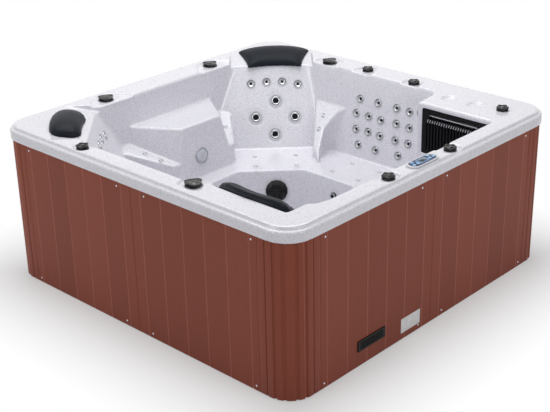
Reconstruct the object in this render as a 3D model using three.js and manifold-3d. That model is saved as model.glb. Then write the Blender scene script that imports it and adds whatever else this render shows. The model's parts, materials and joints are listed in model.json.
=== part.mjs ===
// A square hot tub: an acrylic shell with its fittings, on a base pan and four side frames, in a
// boarded skirt. Millimetres, +Z up, origin at the bottom centre. The control panel is on the -Y side,
// the filter in the +X -Y corner.
import * as THREE from "three";
import { mergeVertices } from "three/addons/utils/BufferGeometryUtils.js";
import Module from "manifold-3d";

// Heights, from the ground up
const footwellClearance = 95;
const footwellDepth = 290;
const seatDepth = 495;
const seatLevel = footwellClearance + footwellDepth;
const tubHeight = seatLevel + seatDepth;

// Rim and shell
const tubWidth = 2100;
const wall = 10;
const lipDepth = 56;
const deckStep = 17;
const ledgeWidth = 20;
const ledgeThickness = 13;
const rimCornerRadius = 139;
const cornerSteps = 5;
const lipRounding = 8;
const edgeRounding = 16;
const pocketDepth = 12;
const halfWidth = tubWidth / 2;
const ledgeLevel = tubHeight - deckStep;
const lipLevel = ledgeLevel - lipDepth;
const rimUnderside = ledgeLevel - ledgeThickness;
const deckHalf = halfWidth - ledgeWidth;
const edgeLevel = tubHeight - edgeRounding;
const pocketLevel = tubHeight - pocketDepth;

// Skirt, frames and base
const skirtInset = 8;
const skirtThickness = 20;
const skirtClearance = 6;
const postReach = 206;
const postCornerRadius = 136;
const panelJoint = 2;
const boardPitch = 145;
const grooveDepth = 2.5;
const grooveWidth = 4;
const fluteDepth = 4;
const fluteWidth = 6;
const fluteStep = 0.17;
const frameThickness = 50;
const frameBeam = 60;
const frameEndGap = 155;
const baseHeight = 14;
const skirtHalf = halfWidth - skirtInset;
const frameHalf = skirtHalf - skirtThickness;
const postStart = halfWidth - postReach;

// Gaps and overruns
const fitGap = 0.3;
const runGap = 0.5;
const overrun = 5;
const mergeDistance = 1e-4;

// Pillows
const pillowLength = 480;
const pillowWidth = 225;
const pillowThickness = 62;
const pillowBend = 65;
const pillowBedMargin = 14;
const cornerPillowTilt = THREE.MathUtils.degToRad(11);
const loungePillowTilt = THREE.MathUtils.degToRad(32);
const pillowStations = 12;
const pillowSides = 12;

// Jets
const jetDepth = 52;
const hoseRadius = 12;
const hoseDepth = 38;
const smallJetRadius = 30;
const smallBarrelRadius = 20;
const smallBoreRadius = 9;
const largeJetRadius = 42;
const largeBarrelRadius = 33;
const nozzleRadius = 27;
const nozzleBoreRadius = 9;
const nozzleSides = 12;
const jetDishRadius = 58;
const jetDishDepth = 3;
const jetFaceRise = 3;
const jetBoreDepth = 14;
const airJetRadius = 14;
const airBarrelRadius = 9;
const airBarrelDepth = 34;
const airPipeRadius = 8;

// Knobs
const diverterRadius = 49;
const airKnobRadius = 37;
const knobDiscHeight = 14;
const knobGripHeight = 15;
const knobStemRadius = 11;
const knobStemDepth = 17;
const knobStemSides = 6;
const knobHoleDepth = 40;
const pocketMargin = 10;
const pocketReach = 100;
const pocketRounding = 34;

// Control panel
const bezelLength = 214;
const bezelWidth = 76;
const bezelHeight = 9;
const bezelRounding = 3;
const overlayThickness = 3;
const overlayRadius = 31;
const overlayWaist = 40;
const lobeSpacing = 124;
const buttonRadius = 9;
const buttonLedge = 1.2;
const buttonFloor = 1.2;
const buttonTravel = 1.5;
const buttonCircle = 17;
const buttonsPerLobe = 3;

// Filter
const filterDrop = 32;
const filterHeight = 261;
const filterFrameGap = 36;
const filterTop = tubHeight - filterDrop;
const filterBottom = filterTop - filterHeight;
const grilleThickness = 18;
const grilleInset = 2;
const grilleBorder = 24;
const grilleWindow = 30;
const grilleSlots = 19;
const weirSetback = 12;
const weirHeight = 92;
const weirThickness = 5;
const weirPinRadius = 4;
const weirPinSides = 10;
const weirDrop = 150;
const cartridgeRadius = 66;
const cartridgeHeight = 232;
const cartridgePleats = 12;
const pleatDepth = 4;
const cartridgeCap = 6;
const cartridgeBoreRadius = 20;
const cupRadius = 45;
const cupDepth = 13;

// Light, suction, pump, heater, blower and drain
const lightRadius = 47;
const lightLensRadius = 37;
const lightRise = 12;
const lightFlange = 4;
const lightBarrelRadius = 34;
const lightDepth = 48;
const suctionRadius = 65;
const suctionRise = 26;
const suctionSlots = 6;
const suctionSlotWidth = 7;
const suctionPipeRadius = 20;
const suctionPipeDepth = 92;
const fittingRadius = 22;
const fittingRise = 12;
const fittingPipeRadius = 12;
const pumpMotorRadius = 80;
const pumpMotorLength = 250;
const voluteRadius = 95;
const voluteLength = 86;
const pumpWall = 8;
const pumpPortRadius = 32;
const pumpPortLength = 42;
const pumpLevel = 141;
const pumpFootInset = 25;
const pumpFootShare = 0.7;
const shaftRadius = 10;
const shaftSeat = 120;
const impellerRadius = 74;
const impellerDisc = 7;
const impellerBlades = 6;
const bladeHeight = 26;
const bladeThickness = 5;
const packLength = 400;
const packWidth = 130;
const packHeight = 150;
const heaterRadius = 32;
const blowerRadius = 85;
const blowerHeight = 165;
const blowerPortRadius = 25;
const blowerPortHeight = 40;
const drainRadius = 20;
const drainLength = 120;
const drainLevel = 130;
const drainRise = 34;
const drainStemLength = 16;
const drainStemRadius = 6;
const handleLength = 80;
const handleWidth = 16;
const handleThickness = 4;

// Vent on the front
const ventLevel = 116;
const ventLap = 9;
const ventLength = 205;
const ventHeight = 56;
const ventThickness = 6;
const ventSlots = 3;
const ventSlotHeight = 6;

// Places, as shares of the half width
const ventShare = -0.455;
const drainShare = -0.885;
const pumpShares = [0.43, -0.724];
const packShares = [-0.04, -0.826];
const blowerShares = [-0.667, -0.667];

const wasm = await Module();
wasm.setup();

const group = new THREE.Group();

// Outlines

function plan(shares) {
  return shares.map(([x, y]) => new THREE.Vector2(x * halfWidth, y * halfWidth));
}

function edgeNormal(from, to) {
  const along = to.clone().sub(from).normalize();
  return new THREE.Vector2(along.y, -along.x);
}

// The outline moved outwards all round by one distance.
function offsetOutline(corners, distance) {
  const last = corners.length - 1;
  return corners.map((corner, i) => {
    const into = edgeNormal(corners[i ? i - 1 : last], corner);
    const out = edgeNormal(corner, corners[i < last ? i + 1 : 0]);
    const reach = distance / (1 + into.dot(out));
    return corner.clone().add(into.add(out).multiplyScalar(reach));
  });
}

// The outline with each corner turned into an arc. The radius is one number or one for each corner.
function roundOutline(corners, radius, steps) {
  const roomShare = 0.48;
  const radii = [radius].flat();
  const last = corners.length - 1;
  const points = [];
  corners.forEach((corner, i) => {
    const before = corners[i ? i - 1 : last].clone().sub(corner);
    const after = corners[i < last ? i + 1 : 0].clone().sub(corner);
    const room = Math.min(before.length(), after.length()) * roomShare;
    before.normalize();
    after.normalize();
    const half = Math.acos(THREE.MathUtils.clamp(before.dot(after), -1, 1)) / 2;
    const reach = Math.min(radii[i % radii.length] / Math.tan(half), room);
    const arcRadius = reach * Math.tan(half);
    const middle = before.clone().add(after).normalize();
    const centre = corner.clone().add(middle.multiplyScalar(arcRadius / Math.sin(half)));
    const start = corner.clone().add(before.multiplyScalar(reach)).sub(centre);
    const end = corner.clone().add(after.multiplyScalar(reach)).sub(centre);
    const sweep = Math.atan2(start.cross(end), start.dot(end));
    for (let step = 0; step <= steps; step += 1) {
      points.push(start.clone().rotateAround(new THREE.Vector2(), (sweep * step) / steps).add(centre));
    }
  });
  return points;
}

function squareCorners(halfX, halfY = halfX) {
  return [
    new THREE.Vector2(-halfX, -halfY),
    new THREE.Vector2(halfX, -halfY),
    new THREE.Vector2(halfX, halfY),
    new THREE.Vector2(-halfX, halfY),
  ];
}

function roundedSquare(half, radius) {
  return roundOutline(squareCorners(half), radius, cornerSteps);
}

function atHeight(points, z) {
  return points.map((point) => new THREE.Vector3(point.x, point.y, z));
}

// Solids

// A closed geometry as a solid whose faces point out.
function solidOf(geometry) {
  const bare = new THREE.BufferGeometry();
  const source = geometry.index ? geometry.toNonIndexed() : geometry;
  bare.setAttribute("position", source.getAttribute("position"));
  const merged = mergeVertices(bare, mergeDistance);
  const place = (index) => new THREE.Vector3().fromBufferAttribute(merged.attributes.position, index);
  const faces = [];
  let volume = 0;
  for (let i = 0; i < merged.index.count; i += 3) {
    const [a, b, c] = merged.index.array.slice(i, i + 3);
    if (a === b || b === c || c === a) continue;
    faces.push([a, b, c]);
    volume += place(a).dot(place(b).cross(place(c)));
  }
  const turned = volume < 0 ? faces.map(([a, b, c]) => [a, c, b]) : faces;
  const mesh = new wasm.Mesh({
    numProp: 3,
    vertProperties: new Float32Array(merged.attributes.position.array),
    triVerts: new Uint32Array(turned.flat()),
  });
  return new wasm.Manifold(mesh);
}

// A closed surface through rings of points, from the lowest ring to the highest.
function loft(rings) {
  const count = rings[0].length;
  const faces = [];
  const cap = (ring, start, up) => {
    const contour = ring.map((point) => new THREE.Vector2(point.x, point.y));
    THREE.ShapeUtils.triangulateShape(contour, []).forEach(([a, b, c]) => {
      faces.push(start + a, start + (up ? b : c), start + (up ? c : b));
    });
  };
  for (let ring = 0; ring < rings.length - 1; ring += 1) {
    for (let i = 0; i < count; i += 1) {
      const a = ring * count + i;
      const b = ring * count + ((i + 1) % count);
      faces.push(a, b, b + count, a, b + count, a + count);
    }
  }
  cap(rings[0], 0, false);
  cap(rings.at(-1), (rings.length - 1) * count, true);
  const geometry = new THREE.BufferGeometry();
  const places = rings.flat().flatMap((point) => [point.x, point.y, point.z]);
  geometry.setAttribute("position", new THREE.Float32BufferAttribute(places, 3));
  geometry.setIndex(faces);
  return solidOf(geometry);
}

function prism(points, low, high) {
  return loft([atHeight(points, low), atHeight(points, high)]);
}

// A box between two corners.
function boxBetween(low, high) {
  const size = new THREE.Vector3().subVectors(high, low);
  const middle = new THREE.Vector3().addVectors(low, high).multiplyScalar(0.5);
  const geometry = new THREE.BoxGeometry(size.x, size.y, size.z);
  return solidOf(geometry.translate(middle.x, middle.y, middle.z));
}

// A turned solid about Z, from [radius, height] pairs.
function turned(profile, segments) {
  const points = profile.map(([radius, height]) => new THREE.Vector2(radius, height));
  const geometry = new THREE.LatheGeometry(points, segments);
  return solidOf(geometry.rotateX(Math.PI / 2));
}

function cylinder(radius, low, high, segments) {
  return turned([[0, low], [radius, low], [radius, high], [0, high]], segments);
}

// The radius of a round hole with flat facets in which a turning part of the given radius runs clear.
function holeRadius(radius, segments) {
  return (radius + runGap) / Math.cos(Math.PI / segments);
}

// A round bar between two points.
function bar(from, to, radius, segments = 5) {
  const along = new THREE.Vector3().subVectors(to, from);
  const up = new THREE.Vector3(0, 0, 1);
  const turn = new THREE.Quaternion().setFromUnitVectors(up, along.clone().normalize());
  const matrix = new THREE.Matrix4().compose(from, turn, new THREE.Vector3(1, 1, 1));
  return placed(cylinder(radius, 0, along.length(), segments), matrix);
}

function placed(solid, matrix) {
  return solid.transform(matrix.elements);
}

function joined(solids) {
  return solids.reduce((sum, solid) => sum.add(solid));
}

function cutBy(solid, cutters) {
  return cutters.reduce((rest, cutter) => rest.subtract(cutter), solid);
}

function finish(color, roughness, metalness = 0) {
  return { color, roughness, metalness };
}

const finishes = {
  acrylic: finish(0xd9dadf, 0.25),
  skirt: finish(0x7c4a3e, 0.6),
  black: finish(0x17181b, 0.45),
  pillow: finish(0x1b1c20, 0.5),
  grey: finish(0x9b9da1, 0.35),
  chrome: finish(0xc9ccd0, 0.2, 0.9),
  steel: finish(0x8c8f93, 0.4, 0.8),
  overlay: finish(0x4c7291, 0.3),
  button: finish(0xc4d3e0, 0.35),
  lens: finish(0xb9c2c8, 0.1),
  paper: finish(0xc8ccd2, 0.8),
};

function addGroup(parent) {
  const child = new THREE.Group();
  parent.add(child);
  return child;
}

function placeAt(point) {
  return new THREE.Matrix4().setPosition(point);
}

// One named piece of the part, under its parent.
function addPiece(parent, name, solid, look, place = new THREE.Matrix4()) {
  const mesh = solid.getMesh();
  const stride = mesh.numProp;
  const places = new Float32Array(mesh.numVert * 3);
  for (let i = 0; i < mesh.numVert; i += 1) {
    places.set(mesh.vertProperties.subarray(i * stride, i * stride + 3), i * 3);
  }
  const geometry = new THREE.BufferGeometry();
  geometry.setAttribute("position", new THREE.BufferAttribute(places, 3));
  geometry.setIndex(new THREE.BufferAttribute(mesh.triVerts, 1));
  geometry.computeVertexNormals();
  const piece = new THREE.Mesh(geometry, new THREE.MeshStandardMaterial(look));
  piece.name = name;
  piece.applyMatrix4(place);
  parent.add(piece);
}

// The tub's walls. A wall leans back from its foot to its head, and its bearing is the way it faces out.
// Reaches are shares of the half width.
function makeWall(bearing, footReachShare, footLevel, headReachShare, headLevel) {
  const out = new THREE.Vector3(Math.cos(bearing), Math.sin(bearing), 0);
  const across = new THREE.Vector3(-out.y, out.x, 0);
  const foot = footReachShare * halfWidth;
  const head = headReachShare * halfWidth;
  const rise = new THREE.Vector3().copy(out).multiplyScalar(head - foot);
  rise.z = headLevel - footLevel;
  rise.normalize();
  const normal = new THREE.Vector3().crossVectors(rise, across).normalize();
  if (normal.dot(out) > 0) normal.negate();
  return { out, across, rise, normal, foot, head, footLevel, headLevel };
}

function makeFootwellWall(bearing, headShare) {
  return makeWall(bearing, headShare * footwellDraftShare, footwellClearance, headShare, seatLevel);
}

// The place on a wall's wet face at a distance across it and a height.
function onWall(side, across, height) {
  const share = (height - side.footLevel) / (side.headLevel - side.footLevel);
  const reach = THREE.MathUtils.lerp(side.foot, side.head, share);
  const place = side.out.clone().multiplyScalar(reach);
  place.addScaledVector(side.across, across);
  place.z = height;
  return place;
}

// A frame with Z out of the wall into the water and the origin on its wet face.
function wallFrame(side, across, height) {
  const sideways = new THREE.Vector3().crossVectors(side.rise, side.normal);
  const frame = new THREE.Matrix4().makeBasis(sideways, side.rise, side.normal);
  return frame.setPosition(onWall(side, across, height));
}

const east = 0;
const northEast = Math.PI / 4;
const north = Math.PI / 2;
const northWest = (Math.PI * 3) / 4;
const west = Math.PI;
const rightFootShare = 0.719;
const rightHeadShare = 0.8267;
const backFootShare = 0.795;
const backHeadShare = 0.8267;
const leftFootShare = 0.762;
const leftHeadShare = 0.876;
const cornerFootShare = 0.734;
const cornerHeadShare = 0.962;
const loungeFootShare = 0.424;
const loungeHeadShare = 0.7495;
const loungeFootRise = 55;
const loungeHeadDrop = 14;
const loungeFootLevel = seatLevel + loungeFootRise;
const loungeHeadLevel = edgeLevel - loungeHeadDrop;
const blockFootShare = 0.5305;
const blockHeadShare = 0.573;
const blockHeight = 315;
const blockTop = seatLevel + blockHeight;
const footwellDraftShare = 0.85;
const footwellEastShare = 0.395;
const footwellNorthShare = 0.433;
const footwellSouthShare = 0.41;
const footwellCornerShare = 0.405;

const rightWall = makeWall(east, rightFootShare, seatLevel, rightHeadShare, edgeLevel);
const backCornerWall = makeWall(northEast, cornerFootShare, seatLevel, cornerHeadShare, edgeLevel);
const leftCornerWall = makeWall(northWest, cornerFootShare, seatLevel, cornerHeadShare, edgeLevel);
const loungeWall = makeWall(west, loungeFootShare, loungeFootLevel, loungeHeadShare, loungeHeadLevel);
const blockWall = makeWall(north, blockFootShare, seatLevel, blockHeadShare, blockTop);
const footwellWall = makeFootwellWall(northEast, footwellCornerShare);
const footwellNorthWall = makeFootwellWall(north, footwellNorthShare);
const footwellEastWall = makeFootwellWall(east, footwellEastShare);

// The water space. Each hollow is made twice: at its real size, and grown by the wall's thickness for
// the shell's outside.

const basinRounding = 60;
const basinRoundingSteps = 3;
const loungeRoundings = [130, 130, 18, 18];
const loungeSideShare = 0.419;
const loungeFrontShare = 0.881;
const footShare = 0.6324;

function basinCorners(rightShare, backShare, leftShare, cornerShare, filterShares, bulgeShares) {
  const diagonal = cornerShare * Math.SQRT2;
  return plan([
    bulgeShares[1],
    ...filterShares,
    [rightShare, diagonal - rightShare],
    [diagonal - backShare, backShare],
    [backShare - diagonal, backShare],
    [-leftShare, diagonal - leftShare],
    bulgeShares[0],
  ]);
}

const basinHead = basinCorners(
  rightHeadShare,
  backHeadShare,
  leftHeadShare,
  cornerHeadShare,
  [[0.667, -loungeSideShare], [rightHeadShare, -0.397]],
  [[-leftHeadShare, -0.256], [-loungeHeadShare, -loungeSideShare]],
);
const basinFoot = basinCorners(
  rightFootShare,
  backFootShare,
  leftFootShare,
  cornerFootShare,
  [[0.648, -loungeSideShare], [rightFootShare, -0.397]],
  [[-leftFootShare, -0.256], [-0.71, -loungeSideShare]],
);

// Rings from the foot outline to the head outline, with the rounded edge up to the deck at real size.
function hollowRings(foot, footLevel, head, radius, grow) {
  const round = (corners, distance) => {
    const radii = [radius].flat().map((own) => own + distance);
    return roundOutline(offsetOutline(corners, distance), radii, basinRoundingSteps);
  };
  if (grow) {
    return [
      atHeight(round(foot, grow), footLevel - grow),
      atHeight(round(foot, grow), footLevel),
      atHeight(round(head, grow), edgeLevel),
    ];
  }
  const middle = edgeRounding * (1 - Math.SQRT1_2);
  return [
    atHeight(round(foot, 0), footLevel),
    atHeight(round(head, 0), edgeLevel),
    atHeight(round(head, middle), tubHeight - middle),
    atHeight(round(head, edgeRounding), tubHeight),
    atHeight(round(head, edgeRounding), tubHeight + overrun),
  ];
}

function basinHollow(grow) {
  return loft(hollowRings(basinFoot, seatLevel, basinHead, basinRounding, grow));
}

// The lounger: its plan outline, cut from below by the lying surface.
const loungeSurfaceShares = [
  [-0.32, 0.015],
  [-0.15, 0.015],
  [0.105, 0.17],
  [0.37, 0.09],
  [0.61, 0.09],
  [footShare, 0.35],
];

function loungeHollow(grow) {
  const sideLap = loungeSideShare - overrun / halfWidth;
  const head = plan([
    [-loungeHeadShare, -sideLap],
    [-loungeHeadShare, -loungeFrontShare],
    [footShare, -loungeFrontShare],
    [footShare, -sideLap],
  ]);
  const outline = loft(hollowRings(head, seatLevel - overrun, head, loungeRoundings, grow));
  const lying = ([x, rise]) => new THREE.Vector2(x * halfWidth, seatLevel + rise * seatDepth);
  const surface = [
    new THREE.Vector2(-loungeHeadShare * halfWidth, tubHeight + 2 * overrun),
    new THREE.Vector2(-loungeHeadShare * halfWidth, loungeHeadLevel),
    new THREE.Vector2(-loungeFootShare * halfWidth, loungeFootLevel),
    ...loungeSurfaceShares.map(lying),
    new THREE.Vector2(footShare * halfWidth + edgeRounding, edgeLevel),
    new THREE.Vector2(footShare * halfWidth + edgeRounding, tubHeight + 2 * overrun),
  ];
  const side = grow ? offsetOutline(surface, grow) : surface;
  const slab = prism(side, -halfWidth, halfWidth);
  const upright = new THREE.Matrix4().makeRotationX(Math.PI / 2);
  return outline.intersect(placed(slab, upright));
}

const footwellRounding = 40;
const footwellTurnShare = footwellCornerShare * Math.SQRT2;
const footwellSideShare = footwellTurnShare - footwellEastShare;
const footwellBackShare = footwellTurnShare - footwellNorthShare;
const footwellFrontShare = footwellTurnShare - footwellSouthShare;
const footwellHeadShares = [
  [-footwellFrontShare, -footwellSouthShare],
  [footwellFrontShare, -footwellSouthShare],
  [footwellEastShare, -footwellSideShare],
  [footwellEastShare, footwellSideShare],
  [footwellBackShare, footwellNorthShare],
  [-footwellBackShare, footwellNorthShare],
  [-footwellEastShare, footwellSideShare],
  [-footwellEastShare, -footwellSideShare],
];

function footwellHollow(grow) {
  const head = plan(footwellHeadShares);
  const foot = head.map((corner) => corner.clone().multiplyScalar(footwellDraftShare));
  const round = (corners) => roundOutline(offsetOutline(corners, grow), footwellRounding + grow, 2);
  const rings = [atHeight(round(foot), footwellClearance), atHeight(round(head), seatLevel)];
  if (grow) rings.unshift(atHeight(round(foot), footwellClearance - grow));
  else rings.push(atHeight(round(head), seatLevel + overrun));
  return loft(rings);
}

const filterSideShares = [-0.862, -0.4476];
const filterLeft = filterSideShares[1] * halfWidth;
const filterRight = filterSideShares[0] * halfWidth;
const filterFace = footShare * halfWidth;
const filterBack = frameHalf - frameThickness - wall - filterFrameGap;

function filterHollow(grow) {
  return boxBetween(
    new THREE.Vector3(filterFace - 2 * overrun - 2 * wall, filterRight - grow, filterBottom - grow),
    new THREE.Vector3(filterBack + grow, filterLeft + grow, filterTop + grow / 2),
  );
}

// The raised block on the +Y wall, hollow below.
const blockHeadHalfShare = 0.1476;
const blockFootHalfShare = 0.2;
const blockSpreadShare = 0.64;
const blockBackShare = 0.886;

function blockSolid(shrink) {
  const ring = (halfShare, faceShare, drop) => {
    const backHalf = halfShare + (blockBackShare - faceShare) * blockSpreadShare;
    return plan([
      [-halfShare, faceShare],
      [halfShare, faceShare],
      [backHalf, blockBackShare],
      [-backHalf, blockBackShare],
    ]).map((corner) => corner.setY(corner.y - drop));
  };
  const base = seatLevel - wall - overrun;
  const foot = offsetOutline(ring(blockFootHalfShare, blockFootShare, 0), -shrink);
  const head = offsetOutline(ring(blockHeadHalfShare, blockHeadShare, 0), -shrink);
  return loft([atHeight(foot, base), atHeight(foot, seatLevel), atHeight(head, blockTop - shrink)]);
}

// A solid armrest whose top falls away from the wall along one direction.
function armSolid(outlineShares, slope) {
  const outline = plan(outlineShares);
  const base = seatLevel - overrun;
  const top = outline.map((corner) => {
    const share = (corner[slope.axis] / halfWidth - slope.lowShare) / (slope.highShare - slope.lowShare);
    const rise = THREE.MathUtils.lerp(slope.lowRise, slope.highRise, share);
    return new THREE.Vector3(corner.x, corner.y, seatLevel + rise);
  });
  return loft([atHeight(outline, base), top]);
}

const stripShares = [
  [0.12, 0.543],
  [0.229, 0.552],
  [0.52, 0.886],
  [0.36, 0.886],
];
const armShares = [
  [0.507, 0.16],
  [0.562, 0.209],
  [0.619, 0.236],
  [0.667, 0.259],
  [0.705, 0.251],
  [0.752, 0.229],
  [0.786, 0.186],
  [0.876, 0.143],
  [0.876, 0.448],
  [0.757, 0.403],
  [0.61, 0.286],
  [0.569, 0.263],
];
// Where each slope starts and ends, and its height over the seats there.
const stripSlope = { axis: "y", lowShare: 0.543, lowRise: 115, highShare: 0.8, highRise: 215 };
const armSlope = { axis: "x", lowShare: 0.507, lowRise: 12, highShare: 0.776, highRise: 265 };

function armSolids() {
  const mirrored = stripShares.map(([x, y]) => [-x, y]).reverse();
  return [
    armSolid(stripShares, stripSlope),
    armSolid(mirrored, stripSlope),
    armSolid(armShares, armSlope),
  ];
}

function waterSpace() {
  const open = joined([basinHollow(0), loungeHollow(0), footwellHollow(0), filterHollow(0)]);
  return cutBy(open, [blockSolid(0), ...armSolids()]);
}

function shellOutside() {
  const grown = joined([basinHollow(wall), loungeHollow(wall), footwellHollow(wall), filterHollow(wall)]);
  return grown.subtract(blockSolid(wall));
}

function rimSolid() {
  const corner = rimCornerRadius;
  const deckCorner = corner - ledgeWidth;
  const rings = [
    atHeight(roundedSquare(halfWidth, corner), lipLevel),
    atHeight(roundedSquare(halfWidth, corner), ledgeLevel - lipRounding),
    atHeight(roundedSquare(halfWidth - lipRounding / 3, corner), ledgeLevel - lipRounding / 3),
    atHeight(roundedSquare(halfWidth - lipRounding, corner - lipRounding), ledgeLevel),
    atHeight(roundedSquare(deckHalf, deckCorner), ledgeLevel),
    atHeight(roundedSquare(deckHalf - lipRounding / 4, deckCorner), tubHeight),
  ];
  const hollow = prism(roundedSquare(halfWidth - wall, corner - wall), lipLevel - overrun, rimUnderside);
  return loft(rings).subtract(hollow);
}

// Pillow beds: a frame with X along the pillow, Y away from the tub and Z off the bed.
const cornerPillowShare = 1.15;
const loungePillowShare = 0.855;
const loungePillowAcrossShare = 0.6;
const pillowBedDrop = 4;

function pillowFrame(side, reachShare, acrossShare, tilt) {
  const away = side.out.clone().multiplyScalar(Math.cos(tilt));
  away.z = Math.sin(tilt);
  const along = side.across.clone().negate();
  const up = new THREE.Vector3().crossVectors(along, away);
  const origin = side.out.clone().multiplyScalar(reachShare * halfWidth);
  origin.addScaledVector(side.across, acrossShare * halfWidth);
  origin.z = tubHeight + pillowBedDrop;
  return new THREE.Matrix4().makeBasis(along, away, up).setPosition(origin);
}

const pillowPlaces = [
  ["back_corner_pillow", pillowFrame(backCornerWall, cornerPillowShare, 0, cornerPillowTilt)],
  ["left_corner_pillow", pillowFrame(leftCornerWall, cornerPillowShare, 0, cornerPillowTilt)],
  ["lounge_pillow", pillowFrame(loungeWall, loungePillowShare, loungePillowAcrossShare, loungePillowTilt)],
];

function pillowBox(low, high, margin, behind) {
  const half = pillowLength / 2 + pillowBedMargin + margin;
  return boxBetween(
    new THREE.Vector3(-half, -pillowWidth - pillowBend - margin, low),
    new THREE.Vector3(half, behind, high),
  );
}

// A cushion bent round the head: its outer edge is furthest back in the middle, its top is crowned and
// its ends draw in.
function pillowSolid() {
  const endShare = 0.985;
  const endWidthShare = 0.34;
  const endHeightShare = 0.4;
  const edgeShare = 0.3;
  const squareness = 0.8;
  const rings = [];
  for (let station = 0; station <= pillowStations; station += 1) {
    const u = Math.sin(((station / pillowStations) * 2 - 1) * (Math.PI / 2)) * endShare;
    const fullness = Math.sqrt(1 - u ** 4);
    const half = (pillowWidth / 2) * THREE.MathUtils.lerp(endWidthShare, 1, fullness);
    const height = pillowThickness * THREE.MathUtils.lerp(endHeightShare, 1, fullness);
    const centre = -pillowWidth / 2 - pillowBend * u * u;
    const ring = [];
    for (let side = 0; side < pillowSides; side += 1) {
      const angle = (side / pillowSides) * Math.PI * 2;
      const y = centre + half * Math.sign(Math.cos(angle)) * Math.abs(Math.cos(angle)) ** squareness;
      const lift = Math.sin(angle);
      const rise = lift > 0 ? (1 - edgeShare) * lift ** squareness : edgeShare * lift;
      ring.push(new THREE.Vector3((u * pillowLength) / 2, y, height * (edgeShare + rise) + fitGap));
    }
    rings.push(ring);
  }
  // The rings stand across X here, so they are turned into the loft's own XY plane and back.
  const lying = new THREE.Matrix4().makeRotationY(-Math.PI / 2);
  const back = lying.clone().invert();
  const turnedRings = rings.map((ring) => ring.map((point) => point.clone().applyMatrix4(lying)));
  return placed(loft(turnedRings), back);
}

// Jets

function jetBody({ radius, barrel, bore, sides, dish }) {
  const profile = [
    [0, -jetBoreDepth],
    [bore, -jetBoreDepth],
    [bore, jetFaceRise - dish],
    [radius * jetCrownShare, jetFaceRise - dish],
    [radius, fitGap - dish],
    [barrel, fitGap - dish],
    [barrel, -jetDepth],
    [0, -jetDepth],
  ];
  return turned(profile, sides);
}

const jetCrownShare = 0.8;
const jetKinds = {
  small: {
    radius: smallJetRadius,
    barrel: smallBarrelRadius,
    bore: smallBoreRadius,
    sides: 7,
    dish: 0,
  },
  large: {
    radius: largeJetRadius,
    barrel: largeBarrelRadius,
    bore: holeRadius(nozzleRadius, nozzleSides),
    sides: nozzleSides,
    dish: jetDishDepth,
  },
};

const nozzleSolid = turned(
  [
    [0, -jetBoreDepth / 2],
    [nozzleBoreRadius, -jetBoreDepth / 2],
    [nozzleBoreRadius, jetFaceRise],
    [nozzleRadius * jetCrownShare, jetFaceRise],
    [nozzleRadius, 0],
    [nozzleRadius, fitGap - jetBoreDepth],
    [0, fitGap - jetBoreDepth],
  ],
  nozzleSides,
);

// Places on the corner walls: kind, then shares of the pillow's length across and of the seat's depth up.
const cornerJetShares = [
  ["small", 0.27, 0.727],
  ["small", 0.07, 0.745],
  ["small", -0.13, 0.743],
  ["small", -0.33, 0.712],
  ["large", -0.04, 0.533],
  ["large", 0.22, 0.352],
  ["large", -0.28, 0.35],
  ["large", -0.02, 0.162],
];
// Places on the right wall, row by row, turning back: shares of the half width across and of the seat's
// depth up.
const rightJetShares = [
  [0.102, 0.69],
  [-0.025, 0.695],
  [-0.155, 0.695],
  [-0.245, 0.69],
  [-0.319, 0.71],
  [-0.26, 0.511],
  [-0.17, 0.519],
  [-0.063, 0.509],
  [0.025, 0.515],
  [0.114, 0.515],
  [0.099, 0.331],
  [0.012, 0.337],
  [-0.072, 0.327],
  [-0.181, 0.329],
  [-0.27, 0.333],
  [-0.217, 0.166],
  [-0.059, 0.152],
  [0.066, 0.158],
];
const loungeJetShares = [
  [0.69, 0.62],
  [0.59, 0.62],
  [0.59, 0.42],
  [0.69, 0.42],
  [0.69, 0.24],
  [0.59, 0.24],
];

const cornerJets = cornerJetShares.map(([kind, across, up]) => [kind, across * pillowLength, up]);
const smallJets = (shares) => shares.map(([across, up]) => ["small", across * halfWidth, up]);
const jetSets = [
  ["back_corner_jets", backCornerWall, cornerJets],
  ["left_corner_jets", leftCornerWall, cornerJets],
  ["right_wall_jets", rightWall, smallJets(rightJetShares)],
  ["lounge_jets", loungeWall, smallJets(loungeJetShares)],
];

function jetFrames(side, jets) {
  return jets.map(([, across, up]) => wallFrame(side, across, seatLevel + up * seatDepth));
}

function alongFrame(frame, distance) {
  return new THREE.Vector3(0, 0, distance).applyMatrix4(frame);
}

// Jet bodies behind a wall, joined one to the next by their hoses.
function jetSetSolid(side, jets) {
  const frames = jetFrames(side, jets);
  const bodies = jets.map(([kind], i) => placed(jetBody(jetKinds[kind]), frames[i]));
  const ends = frames.map((frame) => alongFrame(frame, -hoseDepth));
  const hoses = ends.slice(1).map((end, i) => bar(ends[i], end, hoseRadius));
  return joined([...bodies, ...hoses]);
}

function jetHoles(side, jets) {
  return jetFrames(side, jets).flatMap((frame, i) => {
    const { barrel, sides, dish } = jetKinds[jets[i][0]];
    const cuts = [cylinder(barrel + runGap, -wall - 2 * overrun, overrun, sides)];
    if (dish) cuts.push(cylinder(jetDishRadius, -jetDishDepth, overrun, sides));
    return cuts.map((cut) => placed(cut, frame));
  });
}

// Air injectors in the seats, in one run to a seat: left corner, back corner, right.
const airRunShares = [
  [
    [-0.41, 0.245],
    [-0.523, 0.355],
    [-0.354, 0.517],
    [-0.253, 0.413],
  ],
  [
    [0.253, 0.413],
    [0.354, 0.517],
    [0.523, 0.355],
    [0.41, 0.245],
  ],
  [
    [0.476, 0.039],
    [0.635, 0.026],
    [0.633, -0.169],
    [0.471, -0.152],
  ],
];

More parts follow.
